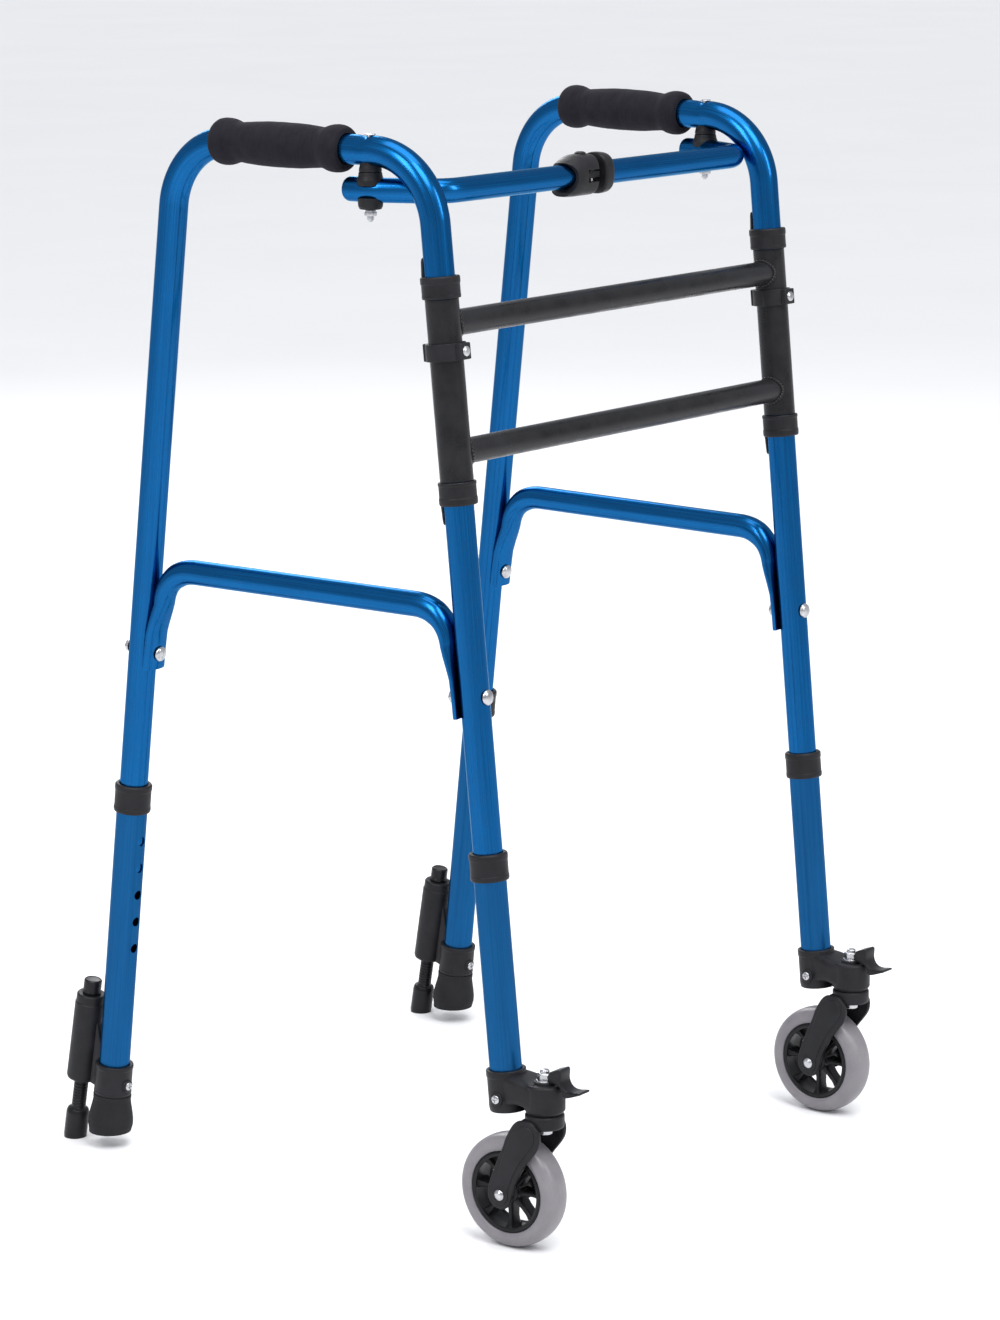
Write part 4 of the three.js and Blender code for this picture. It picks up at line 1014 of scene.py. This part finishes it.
wheel = shift(0, AXLE_U, AXLE_Z) @ turn(90, "Y")
rim = hoop([(33.0, -9.5, 0.6), (31.4, -12.2, 0.7), (34.0, -12.9, 0.6), (36.0, -11.8, 0.4), (36.0, 11.8, 0.4),
    (34.0, 12.9, 0.6),
            (31.4, 12.2, 0.7), (33.0, 9.5, 0.6), (33.4, 0, 1)], 112)
core = pin([(0, -16.0), (8.2, -16.0, 0.5), (8.6, -11.5, 0.8), (10.6, -9.6, 0.9), (10.6, 9.6, 0.9),
    (8.6, 11.5, 0.8), (8.2, 16.0, 0.5), (0, 16.0)], 64)
core = boolean(core, [lathe([(0, -20), (4.2, -20), (4.2, 20), (0, 20)], 32)])
spokes = []
for i in range(8):
    blade = [((x, 0, 0), (0, 0, 1), (0, 1, 0), hz, hy, 4) for x, hz, hy in
             ((8.5, 8.2, 3.6), (12, 7.4, 2.9), (18, 6.4, 2.3), (25, 6.2, 2.3), (30, 7.2, 2.9), (32.6, 8.6, 4.0),
                 (34.2, 9.2, 5.0))]
    web = sweep(blade, 32)
    spokes.append(put(web, turn(45 * i, "Z"), False))
pair("wheel_hub", put(join(rim, core, *spokes), wheel), FINE_PLASTIC, "wheel", ["wheel_hub"])
tread = [(RIM_R + 0.3, -12.2), (37.0, -12.9), (39.0, -13.7), (41.5, -14.0), (44.2, -13.5), (46.6, -12.0),
    (48.4, -9.6), (49.5, -6.4),
         (50.0, -2.4), (50.0, 0), (50.0, 2.4), (49.5, 6.4), (48.4, 9.6), (46.6, 12.0), (44.2, 13.5),
             (41.5, 14.0), (39.0, 13.7),
         (37.0, 12.9), (RIM_R + 0.3, 12.2)]
pair("tyre", put(lathe(spline(tread, 3) + [tread[0]], 128), wheel), TYRE, "wheel", ["tyre"])

lever = spline([(-266.4, 154.8), (-267.2, 160.0), (-268.8, 163.4), (-274.1, 165.5), (-278.4, 166.8),
    (-279.9, 164.6), (-279.5, 157.6),
                (-281.6, 152.4), (-285.5, 149.6), (-290.7, 149.0), (-296.0, 149.8), (-299.2, 150.1),
                    (-299.6, 148.5), (-296.0, 147.0),
                (-289.7, 144.6), (-284.8, 143.3), (-282.0, 144.2), (-281.0, 148.0), (-278.8, 151.2),
                    (-276.0, 153.0), (-271.0, 153.8)], 4, True)
lug = plate(lever, -7.6, 7.6, 0.9, 3)
pair("caster_lock", lug, FINE_PLASTIC, "lock_lever", ["caster_lock"])

# --------------------------------------------------------- pieces: rear glides
h = along("rear", 14, 50.6)
boot = pin([(0, -6), (18.8, -6, 0.3), (19.4, 1.4, 1.2), (20.7, 7.6, 4), (20.5, 13.5, 4), (19.4, 20, 5),
    (18.1, 26, 5),
            (17.2, h - 5, 1), (17.5, h - 3.6, 0.5), (17.5, h, 0.9), (0, h)], 96)
trim = put(slab([(-60, 150), (60, 150), (60, 330), (-60, 330)], -40, 14, 0.01, 1), shift())
bore = put(lathe([(0, 3.7), (LEG_R + GAP, 3.7), (LEG_R + GAP, h + 9), (0, h + 9)], 64), on_leg("rear", 14))
pair("rubber_foot", boolean(put(boot, on_leg("rear", 14)), [trim, bore], grain=on_leg("rear", 14)), RUBBER,
    "leg_rear",
     ["rubber_foot"])

bh = along("rear", 51, 80)
band = hoop([(LEG_R + GAP, 0, 0.2), (17.0, 0, 0.8), (17.4, 2.4, 0.5), (17.1, 3.4, 0.4), (17.1, bh - 4.4, 0.4),
    (17.6, bh - 3.6, 0.5),
             (17.6, bh, 1.0), (LEG_R + GAP, bh, 0.3)], 80)
gh = along_glide(58.6, 142)
barrel = hoop([(7.0, 0, 0.2), (13.2, 0, 1.0), (14.2, 2.6, 0.8), (14.2, gh - 9.0, 0.4), (13.5, gh - 8.2, 0.4),
    (13.4, gh - 1.4, 0.6),
               (12.4, gh, 0.8), (7.0, gh, 0.2), (7.0, gh - 3, 0.1), (11.5, gh - 3.2, 0.1), (11.5, 3.0, 0.1),
                   (7.0, 2.8, 0.1)], 80)
web = plate(rounded([(240, 53, 3), (262, 60, 5), (256, 96, 8), (252.5, 128, 4), (243, 124, 5), (238, 98, 8),
    (228, 76, 4), (232, 56, 3)], steps=5), -4.2, 4.2, 1.2)
leg_clear = put(lathe([(0, -20), (LEG_R + GAP, -20), (LEG_R + GAP, 90), (0, 90)], 64), on_leg("rear", 51))
glide_clear = put(lathe([(0, -20), (11.6, -20), (11.6, 120), (0, 120)], 64), on_glide(58.6))
web = boolean(web, [leg_clear, glide_clear])
lug_pad = boolean(put(pin([(0, -18.4), (5.8, -18.4, 0.8), (6.2, -15.0, 0.3), (6.2, 0), (0, 0)], 40),
    on_leg("rear", 62) @ turn(-90, "X")), [leg_clear])
pair("glide_clamp", join(put(band, on_leg("rear", 51)), put(barrel, on_glide(58.6)), web, lug_pad), PLASTIC,
    "leg_rear",
     ["glide_clamp"])
pair("clamp_screw", put(screw_head(18.9), on_leg("rear", 62) @ turn(90, "X")), ZINC, "leg_rear", [])

def up_glide(z):
    """Distance along the glide axis from the floor to height z."""
    return along_glide(0, z)


threads = []
z = 32.0
while z < up_glide(56):
    threads += [(6.6, z, 0.1), (6.6, z + 1.5, 0.2), (6.05, z + 1.9, 0.2), (6.05, z + 2.5, 0.2)]
    z += 2.9
plunger = pin([(0, -6), (9.4, -6, 0.4), (10.6, 2.6, 1.5), (10.6, 25.4, 1.2), (9.6, 28.6, 1.4), (7.4, 29.8, 0.6),
    (6.6, 30.4, 0.3)] + threads +
              [(6.6, up_glide(58), 0.2), (6.6, up_glide(62.4), 0), (11.0, up_glide(62.4), 0.2),
                  (11.0, up_glide(66), 0.2), (6.6, up_glide(66), 0.1), (6.6, up_glide(142.5), 0.1),
               (8.6, up_glide(142.5), 0.5), (8.6, up_glide(145), 0.4), (8.2, up_glide(145.6), 0.3),
                   (8.2, up_glide(154.6), 0.9), (6.8, up_glide(155.8), 0.5), (6.2, up_glide(155.2), 0.4),
                       (0, up_glide(155.2))], 64)
trim = put(slab([(-60, 150), (60, 150), (60, 330), (-60, 330)], -60, 0, 0.01, 1), shift())
pair("glide_plunger", boolean(put(plunger, on_glide(0)), [trim], grain=on_glide(0)), FINE_PLASTIC, "glide",
     ["glide_plunger"])
for side in SIDES:
    node = frame["nodes"][f"glide_spring_{side}"]
    node.data.materials.clear()
    node.data.materials.append(ZINC)

# -------------------------------------------------------------- camera and stage
CAM = Vector((-2.9395, -2.3059, 1.2294))
LOOK = Vector((0.1018, 0.0606, 0.4203))
IMAGE = (1000, 1320)
FOCAL_PX = 4183.3
cam_data = bpy.data.cameras.new("camera")
cam_data.sensor_width = 36.0
cam_data.lens = FOCAL_PX / IMAGE[1] * cam_data.sensor_width
cam_data.clip_start, cam_data.clip_end = 0.05, 200
cam = bpy.data.objects.new("camera", cam_data)
bpy.context.scene.collection.objects.link(cam)
cam.location = CAM
cam.rotation_mode = "QUATERNION"
cam.rotation_quaternion = (LOOK - CAM).to_track_quat("-Z", "Y")
bpy.context.scene.camera = cam

fm, nt, bs = new_material("floor_pale", (0.86, 0.86, 0.87), 0.6)
bs.inputs["Specular IOR Level"].default_value = 0.15
patch = noise_of(nt, coords(nt, False, (1.5, 1.5, 1.5)), 1.0, 2.0)
nt.links.new(mixed(nt, spread(nt, patch, 0, 1), (0.855, 0.855, 0.865), (0.875, 0.875, 0.88)),
    bs.inputs["Base Color"])
ground = to_mesh(solid([(-6e4, -6e4, -40), (6e4, -6e4, -40), (6e4, 6e4, -40), (-6e4, 6e4, -40), (-6e4, -6e4, 0),
    (6e4, -6e4, 0),
                        (6e4, 6e4, 0), (-6e4, 6e4, 0)], [(3, 2, 1, 0), (4, 5, 6, 7), (0, 1, 5, 4), (1, 2, 6, 5),
                            (2, 3, 7, 6), (3, 0, 4, 7)]), "floor")
ground.materials.append(fm)
floor = bpy.data.objects.new("floor", ground)
bpy.context.scene.collection.objects.link(floor)

world = bpy.data.worlds.new("studio")
bpy.context.scene.world = world
world.use_nodes = True
bg = world.node_tree.nodes["Background"]
bg.inputs["Color"].default_value = (0.93, 0.95, 1.0, 1)
bg.inputs["Strength"].default_value = 0.62


def lamp(name, place, aim, size, watts, color=(1, 1, 1)):
    """Soft box that lights and reflects but isn't seen itself."""
    d = bpy.data.lights.new(name, "AREA")
    d.shape, (d.size, d.size_y) = "RECTANGLE", size
    d.energy, d.color = watts, color
    o = bpy.data.objects.new(name, d)
    bpy.context.scene.collection.objects.link(o)
    o.location = place
    o.rotation_mode = "QUATERNION"
    o.rotation_quaternion = (Vector(aim) - Vector(place)).to_track_quat("-Z", "Y")
    o.visible_camera = False
    return o


lamp("key", (-3.2, 0.2, 3.2), (0, 0, 0.5), (1.1, 1.8), 60)
lamp("front", (0.6, -3.6, 2.6), (0, 0, 0.5), (0.7, 2.0), 38)
lamp("back", (2.4, 3.0, 2.6), (0, 0, 0.5), (1.4, 1.6), 45)
lamp("top", (0, 0, 4.2), (0, 0, 0), (2.4, 2.4), 60)
sun = bpy.data.lights.new("sun", "SUN")
sun.energy, sun.angle = 1.5, math.radians(30)
so = bpy.data.objects.new("sun", sun)
bpy.context.scene.collection.objects.link(so)
so.rotation_euler = (math.radians(28), math.radians(-18), 0)

view = bpy.context.scene.view_settings
view.view_transform = "Standard"
view.look = "None"
view.exposure = 0.0

bpy.context.view_layer.update()
